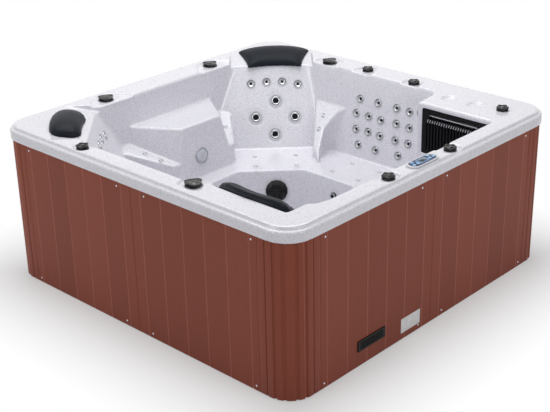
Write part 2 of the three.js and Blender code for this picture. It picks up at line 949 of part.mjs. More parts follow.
// The injectors with the air line below them. The third of a run feeds the second of the next.
function airLineSolid() {
  const profile = [
    [0, jetFaceRise],
    [airJetRadius * jetCrownShare, jetFaceRise],
    [airJetRadius, fitGap],
    [airBarrelRadius, fitGap],
    [airBarrelRadius, -airBarrelDepth],
    [0, -airBarrelDepth],
  ];
  const body = turned(profile, 6);
  const pipeLevel = seatLevel + airPipeRadius - airBarrelDepth;
  const bodies = airRunShares.flatMap(plan).map((at) => body.translate([at.x, at.y, seatLevel]));
  const runs = airRunShares.map((run) => atHeight(plan(run), pipeLevel));
  const pipes = runs.flatMap((run) => run.slice(1).map((end, i) => bar(run[i], end, airPipeRadius)));
  const feeds = runs.slice(1).map((run, i) => bar(runs[i][2], run[1], airPipeRadius));
  return joined([...bodies, ...pipes, ...feeds]);
}

function airHoles() {
  const hole = cylinder(airBarrelRadius + runGap, -wall - overrun, overrun, 6);
  return airRunShares.flatMap(plan).map((at) => hole.translate([at.x, at.y, seatLevel]));
}

// Knobs: name, kind, place as shares of the half width, the way its pocket opens, and the pocket's half
// width at its back and at the water as shares of the knob's radius.
const knobTable = [
  ["left_rear_diverter", "diverter", [-0.392, 0.887], north, 1.3, 3.8],
  ["right_rear_diverter", "diverter", [0.386, 0.89], north, 1.3, 3.8],
  ["right_front_diverter", "diverter", [0.87, 0.392], east, 1.3, 2.6],
  ["right_middle_air_knob", "air", [0.893, 0.128], east, 1.2, 2.1],
  ["right_side_air_knob", "air", [0.872, -0.212], east, 1.2, 2.1],
  ["filter_deck_air_valve", "air", [0.795, -0.831], null, 0, 0],
  ["left_side_air_knob", "air", [-0.922, 0.42], west, 1.2, 1.8],
  ["left_side_diverter", "diverter", [-0.885, -0.318], west, 1.3, 2.2],
  ["front_left_air_knob", "air", [-0.265, -0.926], -north, 1.4, 2.1],
  ["front_right_air_knob", "air", [0.195, -0.934], -north, 1.4, 2.1],
];
const knobGrips = {
  diverter: { reachShare: 0.78, lobes: 3, waveShare: 0.16, steps: 15 },
  air: { reachShare: 0.8, lobes: 5, waveShare: 0.08, steps: 15 },
};

function knobRadius(kind) {
  return kind === "diverter" ? diverterRadius : airKnobRadius;
}

function knobLevel(pocketWay) {
  return pocketWay === null ? tubHeight : pocketLevel;
}

function knobPlace([, , place, way]) {
  const [at] = plan([place]);
  return new THREE.Matrix4().makeTranslation(at.x, at.y, knobLevel(way));
}

// A round disc with a lobed grip on top and a stem below.
function knobSolid(kind) {
  const radius = knobRadius(kind);
  const grip = knobGrips[kind];
  const shoulderShare = 0.6;
  const crownShare = 0.86;
  const outline = (share) => {
    const points = [];
    for (let step = 0; step < grip.steps; step += 1) {
      const angle = (step / grip.steps) * Math.PI * 2;
      const reach = radius * share * grip.reachShare * (1 + grip.waveShare * Math.cos(grip.lobes * angle));
      points.push(new THREE.Vector2(reach * Math.cos(angle), reach * Math.sin(angle)));
    }
    return points;
  };
  const disc = turned(
    [
      [0, fitGap],
      [radius, fitGap],
      [radius, knobDiscHeight * shoulderShare],
      [radius * crownShare, knobDiscHeight],
      [0, knobDiscHeight],
    ],
    14,
  );
  const top = loft([
    atHeight(outline(1), knobDiscHeight * crownShare),
    atHeight(outline(1), knobDiscHeight + knobGripHeight * shoulderShare),
    atHeight(outline(crownShare), knobDiscHeight + knobGripHeight),
  ]);
  const stem = cylinder(knobStemRadius, -knobStemDepth, knobDiscHeight / 2, knobStemSides);
  return joined([disc, top, stem]);
}

// A shallow pocket round a knob, open towards the water.
function knobPocket([, kind, place, way, backShare, frontShare]) {
  const radius = knobRadius(kind);
  const behind = radius + pocketMargin;
  const corners = [
    new THREE.Vector2(behind, -radius * backShare),
    new THREE.Vector2(behind, radius * backShare),
    new THREE.Vector2(-pocketReach, radius * frontShare),
    new THREE.Vector2(-pocketReach, -radius * frontShare),
  ];
  const [at] = plan([place]);
  const outline = roundOutline(corners, pocketRounding, 2);
  outline.forEach((corner) => corner.rotateAround(new THREE.Vector2(), way).add(at));
  return prism(outline, pocketLevel, tubHeight + overrun);
}

function knobHole(row) {
  const hole = cylinder(holeRadius(knobStemRadius, knobStemSides), -knobHoleDepth, overrun, knobStemSides);
  return placed(hole, knobPlace(row));
}

// The light on the block, and the suction fittings in the footwell

const lightAcrossShare = 0.031;
const lightRiseShare = 0.255;
const suctionRiseShare = 0.59;
const sideFittings = [
  [footwellNorthWall, -0.095, 0.65],
  [footwellEastWall, -0.058, 0.68],
];

function lightPlace() {
  return wallFrame(blockWall, lightAcrossShare * halfWidth, seatLevel + lightRiseShare * seatDepth);
}

function suctionPlace() {
  return wallFrame(footwellWall, 0, footwellClearance + suctionRiseShare * footwellDepth);
}

function fittingPlaces() {
  return sideFittings.map(([side, acrossShare, riseShare]) =>
    wallFrame(side, acrossShare * halfWidth, footwellClearance + riseShare * footwellDepth),
  );
}

function lightSolid() {
  return turned(
    [
      [0, lightRise],
      [lightLensRadius / 2, lightRise - lightFlange / 2],
      [lightLensRadius, lightRise / 2],
      [lightLensRadius, lightRise / 3],
      [lightRadius - lightFlange, lightRise / 2],
      [lightRadius, lightFlange / 2],
      [lightRadius, fitGap],
      [lightBarrelRadius, fitGap],
      [lightBarrelRadius, -lightDepth],
      [0, -lightDepth],
    ],
    12,
  );
}

// The slotted suction cover and two small fittings, joined by the pipe behind the footwell's walls.
function suctionSolid() {
  const crownShare = 0.62;
  const slotShare = 0.8;
  const cover = turned(
    [
      [0, suctionRise],
      [suctionRadius * crownShare, suctionRise],
      [suctionRadius, suctionRise / 2],
      [suctionRadius, fitGap],
      [suctionPipeRadius, fitGap],
      [suctionPipeRadius, -suctionPipeDepth],
      [0, -suctionPipeDepth],
    ],
    14,
  );
  const slots = [];
  for (let slot = 0; slot < suctionSlots; slot += 1) {
    const low = new THREE.Vector3(suctionPipeRadius, -suctionSlotWidth / 2, suctionRise / 2);
    const high = new THREE.Vector3(suctionRadius * slotShare, suctionSlotWidth / 2, suctionRise + overrun);
    const turn = new THREE.Matrix4().makeRotationZ((slot / suctionSlots) * Math.PI * 2);
    slots.push(placed(boxBetween(low, high), turn));
  }
  const fitting = turned(
    [
      [0, fittingRise],
      [fittingRadius / 2, fittingRise],
      [fittingRadius, fittingRise / 3],
      [fittingRadius, fitGap],
      [fittingPipeRadius, fitGap],
      [fittingPipeRadius, -suctionPipeDepth],
      [0, -suctionPipeDepth],
    ],
    8,
  );
  const middle = suctionPlace();
  const [north1, east1] = fittingPlaces();
  const behind = (frame) => alongFrame(frame, fittingPipeRadius - suctionPipeDepth);
  const elbow = behind(east1).setY(suctionElbowShare * halfWidth);
  const route = [behind(north1), behind(middle), elbow, behind(east1)];
  const pipes = route.slice(1).map((end, i) => bar(route[i], end, fittingPipeRadius));
  const bodies = [placed(cutBy(cover, slots), middle), placed(fitting, north1), placed(fitting, east1)];
  return joined([...bodies, ...pipes]);
}

const suctionElbowShare = 0.18;

function fittingHoles() {
  const lightHole = cylinder(lightBarrelRadius + runGap, -wall - 2 * overrun, overrun, 12);
  const suctionHole = cylinder(suctionPipeRadius + runGap, -wall - 2 * overrun, overrun, 14);
  const smallHole = cylinder(fittingPipeRadius + runGap, -wall - 2 * overrun, overrun, 8);
  return [
    placed(lightHole, lightPlace()),
    placed(suctionHole, suctionPlace()),
    ...fittingPlaces().map((frame) => placed(smallHole, frame)),
  ];
}

// The filter: a slotted grille that pulls out, a weir flap on a pin and a pleated cartridge.

const grilleFront = filterFace + grilleInset;
const grilleRight = filterRight + runGap;
const grilleLeft = filterLeft - runGap;

function grilleSolid() {
  const bottom = filterBottom + fitGap;
  const top = filterTop - runGap;
  const back = grilleFront + grilleThickness;
  const plate = boxBetween(
    new THREE.Vector3(grilleFront, grilleRight, bottom),
    new THREE.Vector3(back, grilleLeft, top),
  );
  const windowLow = top - grilleBorder - grilleWindow;
  const cuts = [
    boxBetween(
      new THREE.Vector3(grilleFront - overrun, grilleRight + 3 * grilleBorder, windowLow),
      new THREE.Vector3(back + overrun, grilleLeft - 2 * grilleBorder, windowLow + grilleWindow),
    ),
  ];
  const pitch = (grilleLeft - grilleRight - 2 * grilleBorder) / grilleSlots;
  for (let slot = 0; slot < grilleSlots; slot += 1) {
    const start = grilleRight + grilleBorder + (slot + 0.25) * pitch;
    cuts.push(
      boxBetween(
        new THREE.Vector3(grilleFront - overrun, start, bottom + grilleBorder),
        new THREE.Vector3(back + overrun, start + pitch / 2, windowLow - grilleBorder),
      ),
    );
  }
  return cutBy(plate, cuts);
}

const weirPivot = new THREE.Vector3(
  grilleFront + grilleThickness + weirSetback,
  (filterLeft + filterRight) / 2,
  filterTop - weirDrop,
);
const weirHalf = (filterLeft - filterRight) / 2;

function weirPin(radius, half) {
  const lying = new THREE.Matrix4().makeRotationX(Math.PI / 2);
  return placed(cylinder(radius, -half, half, weirPinSides), lying.setPosition(weirPivot));
}

function weirSolid() {
  const plate = boxBetween(
    new THREE.Vector3(-weirThickness / 2, -weirHalf + grilleInset, 0).add(weirPivot),
    new THREE.Vector3(weirThickness / 2, weirHalf - grilleInset, weirHeight).add(weirPivot),
  );
  return plate.add(weirPin(weirPinRadius, weirHalf + wall / 2));
}

function cartridgeSolid() {
  const outline = [];
  for (let step = 0; step < 2 * cartridgePleats; step += 1) {
    const angle = (step / cartridgePleats) * Math.PI;
    const reach = cartridgeRadius - pleatDepth * (1 + (step % 2));
    outline.push(new THREE.Vector2(reach * Math.cos(angle), reach * Math.sin(angle)));
  }
  const pleats = prism(outline, 0, cartridgeHeight);
  const caps = [0, cartridgeHeight - cartridgeCap].map((low) =>
    cylinder(cartridgeRadius, low, low + cartridgeCap, 16),
  );
  return joined([pleats, ...caps]).subtract(
    cylinder(cartridgeBoreRadius, -overrun, cartridgeHeight + overrun, 8),
  );
}

// The acrylic shell

const cupShares = [
  [0.776, -0.518],
  [0.781, -0.676],
];

function acrylicShell() {
  const water = waterSpace();
  const tray = pillowBox(-wall, pillowThickness, wall, -wall);
  const bed = pillowBox(0, 2 * pillowThickness, 0, pillowBedMargin);
  const beds = pillowPlaces.map(([, frame]) => placed(bed, frame));
  const trays = pillowPlaces.map(([, frame]) => placed(tray, frame));
  const aboveDeck = prism(squareCorners(halfWidth), tubHeight, tubHeight + 2 * pillowThickness);
  const cup = cylinder(cupRadius, -cupDepth, overrun, 16);
  const body = joined([rimSolid(), shellOutside(), ...trays]);
  return cutBy(body, [
    water,
    aboveDeck,
    ...beds,
    ...knobTable.filter(([, , , way]) => way !== null).map(knobPocket),
    ...knobTable.map(knobHole),
    ...plan(cupShares).map((at) => cup.translate([at.x, at.y, tubHeight])),
    ...jetSets.flatMap(([, side, jets]) => jetHoles(side, jets)),
    ...airHoles(),
    ...fittingHoles(),
    weirPin(holeRadius(weirPinRadius, weirPinSides), weirHalf + wall - 2 * runGap),
  ]);
}

// The control panel: a bezel on the deck, a waisted overlay let into it and six buttons.

const bezelShares = [-0.0286, -0.938];
const recessLevel = bezelHeight - overlayThickness - fitGap;
const buttonLevel = buttonFloor + buttonTravel + fitGap;

function bezelPlace() {
  const [at] = plan([bezelShares]);
  return new THREE.Matrix4().makeTranslation(at.x, at.y, tubHeight + fitGap);
}

function overlayOutline(low, high, margin) {
  const lobe = cylinder(overlayRadius + margin, low, high, 12);
  const waist = prism(squareCorners(lobeSpacing / 2, overlayWaist / 2 + margin), low, high);
  return joined([waist, ...[-1, 1].map((way) => lobe.translate([(way * lobeSpacing) / 2, 0, 0]))]);
}

// The middle of each button, three to a lobe.
function buttonPlaces() {
  const places = [];
  [-1, 1].forEach((way) => {
    for (let button = 0; button < buttonsPerLobe; button += 1) {
      const angle = ((button / buttonsPerLobe) * 2 + 0.5) * Math.PI;
      const x = (way * lobeSpacing) / 2 + buttonCircle * Math.cos(angle);
      places.push(new THREE.Vector3(x, buttonCircle * Math.sin(angle), 0));
    }
  });
  return places;
}

function bezelSolid() {
  const outline = roundOutline(squareCorners(bezelLength / 2, bezelWidth / 2), bezelWidth / 2, 4);
  const crown = offsetOutline(outline, -bezelRounding);
  const body = loft([
    atHeight(outline, 0),
    atHeight(outline, bezelHeight - bezelRounding),
    atHeight(crown, bezelHeight),
  ]);
  const well = cylinder(buttonRadius + runGap, buttonFloor, bezelHeight, 8);
  const wells = buttonPlaces().map((at) => well.translate(at.toArray()));
  return cutBy(body, [overlayOutline(recessLevel, bezelHeight + overrun, fitGap), ...wells]);
}

function overlaySolid() {
  const hole = cylinder(buttonRadius - buttonLedge + runGap, -overrun, bezelHeight, 8);
  const holes = buttonPlaces().map((at) => hole.translate(at.toArray()));
  const plate = overlayOutline(0, overlayThickness, 0);
  return cutBy(plate, holes);
}

function buttonSolid() {
  const flangeTop = recessLevel - buttonLevel - fitGap;
  return turned(
    [
      [0, 0],
      [buttonRadius, 0],
      [buttonRadius, flangeTop],
      [buttonRadius - buttonLedge, flangeTop],
      [buttonRadius - buttonLedge, bezelHeight - buttonLevel + buttonTravel],
      [0, bezelHeight - buttonLevel + buttonTravel],
    ],
    8,
  );
}

// The skirt: two board panels to a side and a fluted post at each corner. Each is drawn on the +Y side.

function vGroove(at, face, width, depth) {
  return [
    new THREE.Vector2(at + width / 2, face),
    new THREE.Vector2(at, face - depth),
    new THREE.Vector2(at - width / 2, face),
  ];
}

const skirtLow = skirtClearance;
const skirtHigh = lipLevel - runGap;
const panelEnd = postStart - panelJoint / 2;

function panelSolid() {
  const grooves = [];
  for (let at = boardPitch / 2; at < panelEnd - grooveWidth; at += boardPitch) {
    grooves.unshift(...vGroove(at, skirtHalf, grooveWidth, grooveDepth));
  }
  const outline = [
    new THREE.Vector2(panelJoint / 2, skirtHalf - skirtThickness),
    new THREE.Vector2(panelEnd, skirtHalf - skirtThickness),
    new THREE.Vector2(panelEnd, skirtHalf),
    ...grooves,
    new THREE.Vector2(panelJoint / 2, skirtHalf),
  ];
  return prism(outline, skirtLow, skirtHigh);
}

function ventOpening() {
  return boxBetween(
    new THREE.Vector3(-ventLength / 2 + ventLap, -overrun, -ventHeight / 2 + ventLap),
    new THREE.Vector3(ventLength / 2 - ventLap, skirtThickness + overrun, ventHeight / 2 - ventLap),
  );
}

const fluteAngleShares = [0.355, 0.139, -0.139, -0.355];

function postSolid() {
  const centre = skirtHalf - postCornerRadius;
  const middle = new THREE.Vector2(centre, centre);
  const arcPoint = (radius, angle) =>
    new THREE.Vector2(radius * Math.cos(angle), radius * Math.sin(angle)).add(middle);
  const flare = fluteWidth / 2 / postCornerRadius;
  const straight = vGroove((postStart + centre) / 2 + fluteWidth * 2, skirtHalf, fluteWidth, fluteDepth);
  const outer = [...straight.reverse(), arcPoint(postCornerRadius, Math.PI / 2)];
  fluteAngleShares.forEach((share) => {
    const angle = (share + 0.5) * (Math.PI / 2);
    outer.push(arcPoint(postCornerRadius, angle + flare));
    outer.push(arcPoint(postCornerRadius - fluteDepth, angle));
    outer.push(arcPoint(postCornerRadius, angle - flare));
    outer.push(arcPoint(postCornerRadius, angle - fluteStep));
  });
  outer.splice(-1, 1, arcPoint(postCornerRadius, 0));
  straight.reverse().forEach((point) => outer.push(new THREE.Vector2(point.y, point.x)));
  outer.push(new THREE.Vector2(skirtHalf, postStart));
  const inner = [new THREE.Vector2(skirtHalf - skirtThickness, postStart)];
  for (let step = 0; step <= cornerSteps; step += 1) {
    inner.push(arcPoint(postCornerRadius - skirtThickness, ((step / cornerSteps) * Math.PI) / 2));
  }
  inner.push(new THREE.Vector2(postStart, skirtHalf - skirtThickness));
  const outline = [new THREE.Vector2(postStart, skirtHalf), ...outer, ...inner].reverse();
  return prism(outline, skirtLow, skirtHigh);
}

// A side frame of two rails and three studs, under the rim.
function frameSolid() {
  const outer = frameHalf - fitGap;
  const reach = halfWidth - frameEndGap;
  const low = baseHeight + fitGap;
  const high = rimUnderside - fitGap;
  const beam = (fromX, toX, fromZ, toZ) =>
    boxBetween(
      new THREE.Vector3(fromX, outer - frameThickness, fromZ),
      new THREE.Vector3(toX, outer, toZ),
    );
  const bay = (way) => {
    const ends = [(way * frameBeam) / 2, way * (reach - frameBeam)];
    return boxBetween(
      new THREE.Vector3(Math.min(...ends), outer - frameThickness - overrun, low + frameBeam),
      new THREE.Vector3(Math.max(...ends), outer + overrun, high - frameBeam),
    );
  };
  return cutBy(beam(-reach, reach, low, high), [bay(-1), bay(1)]);
}

function basePanSolid() {
  const corner = postCornerRadius - skirtThickness - fitGap;
  return prism(roundedSquare(frameHalf - fitGap, corner), 0, baseHeight);
}

// The vent on the front, with its slots.
function ventSolid() {
  const plate = boxBetween(
    new THREE.Vector3(-ventLength / 2, -ventThickness, -ventHeight / 2),
    new THREE.Vector3(ventLength / 2, 0, ventHeight / 2),
  );
  const neckX = ventLength / 2 - ventLap - runGap;
  const neckZ = ventHeight / 2 - ventLap - runGap;
  const neck = boxBetween(
    new THREE.Vector3(-neckX, -fitGap, -neckZ),
    new THREE.Vector3(neckX, skirtThickness / 2, neckZ),
  );
  const slots = [];
  const pitch = (ventHeight - 2 * ventLap - 2 * ventSlotHeight) / (ventSlots - 1);
  for (let slot = 0; slot < ventSlots; slot += 1) {
    const z = (slot - (ventSlots - 1) / 2) * pitch;
    slots.push(
      boxBetween(
        new THREE.Vector3(-ventLength / 2 + 2 * ventLap, -ventThickness - overrun, z - ventSlotHeight / 2),
        new THREE.Vector3(ventLength / 2 - 2 * ventLap, skirtThickness, z + ventSlotHeight / 2),
      ),
    );
  }
  return cutBy(plate.add(neck), slots);
}

// The pump, along +X, with its impeller and shaft inside.

function pumpSolid() {
  const voluteStart = pumpMotorLength + pumpWall;
  const voluteEnd = pumpMotorLength + voluteLength;
  const casing = turned(
    [
      [0, 0],
      [pumpMotorRadius, 0],
      [pumpMotorRadius, pumpMotorLength],
      [voluteRadius, pumpMotorLength],
      [voluteRadius, voluteEnd],
      [pumpPortRadius, voluteEnd],
      [pumpPortRadius, voluteEnd + pumpPortLength],
      [pumpPortRadius - pumpWall, voluteEnd + pumpPortLength],
      [pumpPortRadius - pumpWall, voluteEnd - pumpWall],
      [voluteRadius - pumpWall, voluteEnd - pumpWall],
      [voluteRadius - pumpWall, voluteStart],
      [shaftRadius + runGap, voluteStart],
      [shaftRadius + runGap, shaftSeat],
      [0, shaftSeat],
    ],
    16,
  );
  const footHalf = pumpMotorRadius * pumpFootShare;
  const foot = boxBetween(
    new THREE.Vector3(pumpFootInset, -footHalf, baseHeight + fitGap),
    new THREE.Vector3(pumpMotorLength - pumpFootInset, footHalf, pumpLevel - footHalf),
  );
  const lying = new THREE.Matrix4().makeRotationY(Math.PI / 2).setPosition(0, 0, pumpLevel);
  return placed(casing, lying).add(foot);
}

function rotorSolid() {
  const start = pumpMotorLength + pumpWall + 2 * runGap + overrun;
  const shaft = cylinder(shaftRadius, shaftSeat + runGap, start + impellerDisc, 8);
  const disc = cylinder(impellerRadius, start, start + impellerDisc, 16);
  const blades = [];
  for (let blade = 0; blade < impellerBlades; blade += 1) {
    const tip = impellerRadius - bladeThickness;
    const low = new THREE.Vector3(shaftRadius, -bladeThickness / 2, start);
    const high = new THREE.Vector3(tip, bladeThickness / 2, start + impellerDisc + bladeHeight);
    const turn = new THREE.Matrix4().makeRotationZ((blade / impellerBlades) * Math.PI * 2);
    blades.push(placed(boxBetween(low, high), turn));
  }
  const lying = new THREE.Matrix4().makeRotationY(Math.PI / 2).setPosition(0, 0, pumpLevel);
  return placed(joined([shaft, disc, ...blades]), lying);
}

// The control pack, with its heater tube through it.
function packSolid() {
  const box = boxBetween(
    new THREE.Vector3(-packLength / 2, -packWidth / 2, baseHeight + fitGap),
    new THREE.Vector3(packLength / 2, packWidth / 2, baseHeight + packHeight),
  );
  const reach = packLength / 2 + 2 * heaterRadius;
  const level = baseHeight + packHeight / 2;
  const ends = [-reach, reach].map((x) => new THREE.Vector3(x, 0, level));
  return box.add(bar(...ends, heaterRadius, 14));
}

function blowerSolid() {
  const top = baseHeight + blowerHeight;
  return turned(
    [
      [0, baseHeight + fitGap],
      [blowerRadius, baseHeight + fitGap],
      [blowerRadius, top],
      [blowerPortRadius, top + overrun],
      [blowerPortRadius, top + blowerPortHeight],
      [0, top + blowerPortHeight],
    ],
    16,
  );
}

// The drain valve, along Y on a foot, with a lever on top.

function drainSolid() {
  const pipe = bar(
    new THREE.Vector3(0, -drainLength / 2, drainLevel),
    new THREE.Vector3(0, drainLength / 2, drainLevel),
    drainRadius,
    14,
  );
  const foot = boxBetween(
    new THREE.Vector3(-drainRadius, -drainRadius, baseHeight + fitGap),
    new THREE.Vector3(drainRadius, drainRadius, drainLevel),
  );
  const boss = cylinder(drainStemRadius * 2, drainLevel, drainLevel + drainRise, 12);
  const bore = cylinder(
    drainStemRadius + runGap,
    drainLevel + drainRise - drainStemLength,
    drainLevel + drainRise + overrun,
    10,
  );
  return joined([pipe, foot, boss]).subtract(bore);
}

function handleSolid() {
  const level = drainLevel + drainRise + runGap;
  const plate = boxBetween(
    new THREE.Vector3(-handleWidth / 2, handleWidth / 2 - handleLength, level),
    new THREE.Vector3(handleWidth / 2, handleWidth / 2, level + handleThickness),
  );
  const stemFoot = level - drainStemLength + 2 * runGap;
  return plate.add(cylinder(drainStemRadius, stemFoot, level + handleThickness / 2, 10));
}

// The whole tub

addPiece(group, "acrylic_shell", acrylicShell(), finishes.acrylic);

const plumbing = addGroup(group);
jetSets.forEach(([name, side, jets]) => addPiece(plumbing, name, jetSetSolid(side, jets), finishes.grey));
jetFrames(backCornerWall, cornerJets)
  .filter((frame, i) => cornerJets[i][0] === "large")
  .forEach((frame, i) => addPiece(plumbing, `rotary_nozzle_${i + 1}`, nozzleSolid, finishes.chrome, frame));
addPiece(plumbing, "air_injectors", airLineSolid(), finishes.grey);
addPiece(plumbing, "suction_fittings", suctionSolid(), finishes.grey);
addPiece(plumbing, "tub_light", lightSolid(), finishes.lens, lightPlace());

const filter = addGroup(group);
addPiece(filter, "filter_grille", grilleSolid(), finishes.black);
addPiece(filter, "weir_flap", weirSolid(), finishes.grey);
const cartridgePlace = new THREE.Vector3(
  filterBack - cartridgeRadius - overrun,
  (filterLeft + filterRight) / 2,
  filterBottom + fitGap,
);
addPiece(filter, "filter_cartridge", cartridgeSolid(), finishes.paper, placeAt(cartridgePlace));

const controls = addGroup(group);
pillowPlaces.forEach(([name, frame]) => addPiece(controls, name, pillowSolid(), finishes.pillow, frame));
knobTable.forEach((row) => addPiece(controls, row[0], knobSolid(row[1]), finishes.black, knobPlace(row)));
const panel = addGroup(controls);
panel.applyMatrix4(bezelPlace());
const overlayPlace = new THREE.Vector3(0, 0, recessLevel + fitGap / 2);
addPiece(panel, "control_bezel", bezelSolid(), finishes.grey);
addPiece(panel, "control_overlay", overlaySolid(), finishes.overlay, placeAt(overlayPlace));
buttonPlaces().forEach((at, i) => {
  const place = placeAt(at.clone().setZ(buttonLevel));
  addPiece(panel, `control_button_${i + 1}`, buttonSolid(), finishes.button, place);
});

// Sides and corners, each a quarter turn on from the last.
const ventPlace = new THREE.Vector3(ventShare * halfWidth, -skirtHalf - fitGap, ventLevel);
const ventCut = placed(ventOpening(), placeAt(ventPlace));
const sides = ["back", "left", "front", "right"];
sides.forEach((side, quarter) => {
  const cabinet = addGroup(group);
  cabinet.rotation.z = (quarter * Math.PI) / 2;
  const first = panelSolid();
  const second = placed(first.mirror([1, 0, 0]), new THREE.Matrix4());
  const turn = new THREE.Matrix4().makeRotationZ((-quarter * Math.PI) / 2);
  const firstCut = side === "front" ? first.subtract(placed(ventCut, turn)) : first;
  addPiece(cabinet, `${side}_panel_1`, firstCut, finishes.skirt);
  addPiece(cabinet, `${side}_panel_2`, second, finishes.skirt);
  addPiece(cabinet, `${side}_corner_post`, postSolid(), finishes.skirt);
  addPiece(cabinet, `${side}_frame`, frameSolid(), finishes.steel);
});
addPiece(group, "skirt_vent", ventSolid(), finishes.black, placeAt(ventPlace));
addPiece(group, "base_pan", basePanSolid(), finishes.black);

const equipment = addGroup(group);
const pumpPlace = new THREE.Vector3(pumpShares[0], pumpShares[1], 0).multiplyScalar(halfWidth);
addPiece(equipment, "pump_body", pumpSolid(), finishes.black, placeAt(pumpPlace));
addPiece(equipment, "pump_rotor", rotorSolid(), finishes.steel, placeAt(pumpPlace));
const packPlace = new THREE.Vector3(packShares[0], packShares[1], 0).multiplyScalar(halfWidth);
addPiece(equipment, "spa_pack", packSolid(), finishes.steel, placeAt(packPlace));
const blowerPlace = new THREE.Vector3(blowerShares[0], blowerShares[1], 0).multiplyScalar(halfWidth);
addPiece(equipment, "air_blower", blowerSolid(), finishes.black, placeAt(blowerPlace));
const drainPlace = new THREE.Vector3(ventShare, drainShare, 0).multiplyScalar(halfWidth);
addPiece(equipment, "drain_valve", drainSolid(), finishes.grey, placeAt(drainPlace));
addPiece(equipment, "drain_handle", handleSolid(), finishes.steel, placeAt(drainPlace));

export default group;
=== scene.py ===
"""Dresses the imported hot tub: its finished pieces, materials, lights and camera.

It is laid out as an add-on with one operator for each kind of piece, and is run as a script.
"""

import json
import math
from contextlib import contextmanager

import bmesh
import bpy
from bpy.props import FloatProperty, FloatVectorProperty, IntProperty, PointerProperty
from mathutils import Matrix, Vector
from mathutils.bvhtree import BVHTree

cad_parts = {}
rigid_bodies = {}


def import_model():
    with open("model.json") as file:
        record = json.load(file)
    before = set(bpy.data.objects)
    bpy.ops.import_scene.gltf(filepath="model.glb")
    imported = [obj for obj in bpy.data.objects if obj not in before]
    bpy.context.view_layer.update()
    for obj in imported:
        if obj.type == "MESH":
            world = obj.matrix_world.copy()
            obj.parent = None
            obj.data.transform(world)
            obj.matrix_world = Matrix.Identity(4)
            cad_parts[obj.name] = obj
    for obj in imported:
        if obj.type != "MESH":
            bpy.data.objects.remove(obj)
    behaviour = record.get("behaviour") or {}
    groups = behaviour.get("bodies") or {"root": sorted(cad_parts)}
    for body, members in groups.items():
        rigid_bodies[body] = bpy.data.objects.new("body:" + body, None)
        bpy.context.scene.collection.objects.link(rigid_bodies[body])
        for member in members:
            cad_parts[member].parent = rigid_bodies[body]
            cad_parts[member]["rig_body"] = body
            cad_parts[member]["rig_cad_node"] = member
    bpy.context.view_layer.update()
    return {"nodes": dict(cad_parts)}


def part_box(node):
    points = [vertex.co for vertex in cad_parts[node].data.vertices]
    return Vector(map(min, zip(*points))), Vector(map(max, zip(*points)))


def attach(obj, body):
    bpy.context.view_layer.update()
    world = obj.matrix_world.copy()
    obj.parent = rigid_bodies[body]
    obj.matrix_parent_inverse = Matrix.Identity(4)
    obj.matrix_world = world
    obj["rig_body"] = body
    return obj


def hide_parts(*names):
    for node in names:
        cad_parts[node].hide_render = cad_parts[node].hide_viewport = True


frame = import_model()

bl_info = {
    "name": "Hot Tub",
    "version": (1, 0, 0),
    "blender": (4, 5, 0),
    "location": "View3D > Sidebar > Hot Tub",
    "description": "Dresses a packed hot tub with finished pieces, materials, lights and a camera",
    "category": "Object",
}

TUB = "tub"
MERGE = 0.00002
FLAT = math.cos(math.radians(1.0))
PARALLEL = 0.01
WATER_MIDDLE = Vector((0.0, 0.0, 0.8))
UP = Vector((0.0, 0.0, 1.0))
WEST = Vector((-1.0, 0.0, 0.0))
SOUTH = Vector((0.0, -1.0, 0.0))
ABOVE_ALL = 2.0
FACING_UP = 0.9

SHELL_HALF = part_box("acrylic_shell")[1].x
SKIRT_LOW, SKIRT_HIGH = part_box("back_corner_post")
SKIRT_HALF = SKIRT_HIGH.y
POST_START = SKIRT_LOW.x
SIDES = ("back", "left", "front", "right")


# The user's sizes and colours


def length(name, description, default):
    return FloatProperty(
        name=name, description=description, default=default, min=0.0, unit="LENGTH", precision=4
    )


def colour(name, description, default):
    return FloatVectorProperty(
        name=name, description=description, default=default, min=0.0, max=1.0, subtype="COLOR"
    )


class HotTubSizes(bpy.types.PropertyGroup):
    """Sizes of the finished pieces"""

    shell_grid: length("Shell grid", "Grid on which the acrylic shell is rounded off", 0.006)
    shell_faces: IntProperty(
        name="Shell faces", description="Most triangles of the finished shell", default=190000, min=1000
    )
    post_radius: length("Post radius", "Outer radius of the rounded corner posts", 0.136)
    post_thickness: length("Post thickness", "Thickness of the corner posts", 0.02)
    flute_width: length("Flute width", "Width of the grooves down a corner post", 0.007)
    flute_depth: length("Flute depth", "Depth of the grooves down a corner post", 0.006)
    pillow_width: length("Pillow width", "Width of the back corner's pillow from tip to tip", 0.442)
    pillow_height: length("Pillow height", "From a pillow's front edge to its back edge", 0.222)
    pillow_thickness: length("Pillow thickness", "Thickness of a corner pillow at its crest", 0.055)
    pillow_bend: length("Pillow bend", "How far a corner pillow's tips bend round the corner", 0.04)
    lounge_pillow_thickness: length("Lounge pillow thickness", "Thickness at its crest", 0.036)
    lounge_pillow_bend: length("Lounge pillow bend", "How far its ends bend to the water", 0.068)
    pillow_grid: length("Pillow grid", "Grid on which a pillow is rounded off before it swells", 0.005)
    pillow_swell: length("Pillow swell", "Furthest that a pillow's skin moves as it swells", 0.006)
    small_flange: length("Small jet flange", "Radius of a small jet's flange", 0.03)
    large_flange: length("Large jet flange", "Radius of a large jet's flange", 0.042)
    nozzle_radius: length("Nozzle radius", "Radius of a rotary nozzle", 0.0265)
    button_radius: length("Button radius", "Radius of the six buttons", 0.009)
    screw_radius: length("Screw radius", "Radius of the skirt's screw heads", 0.0055)


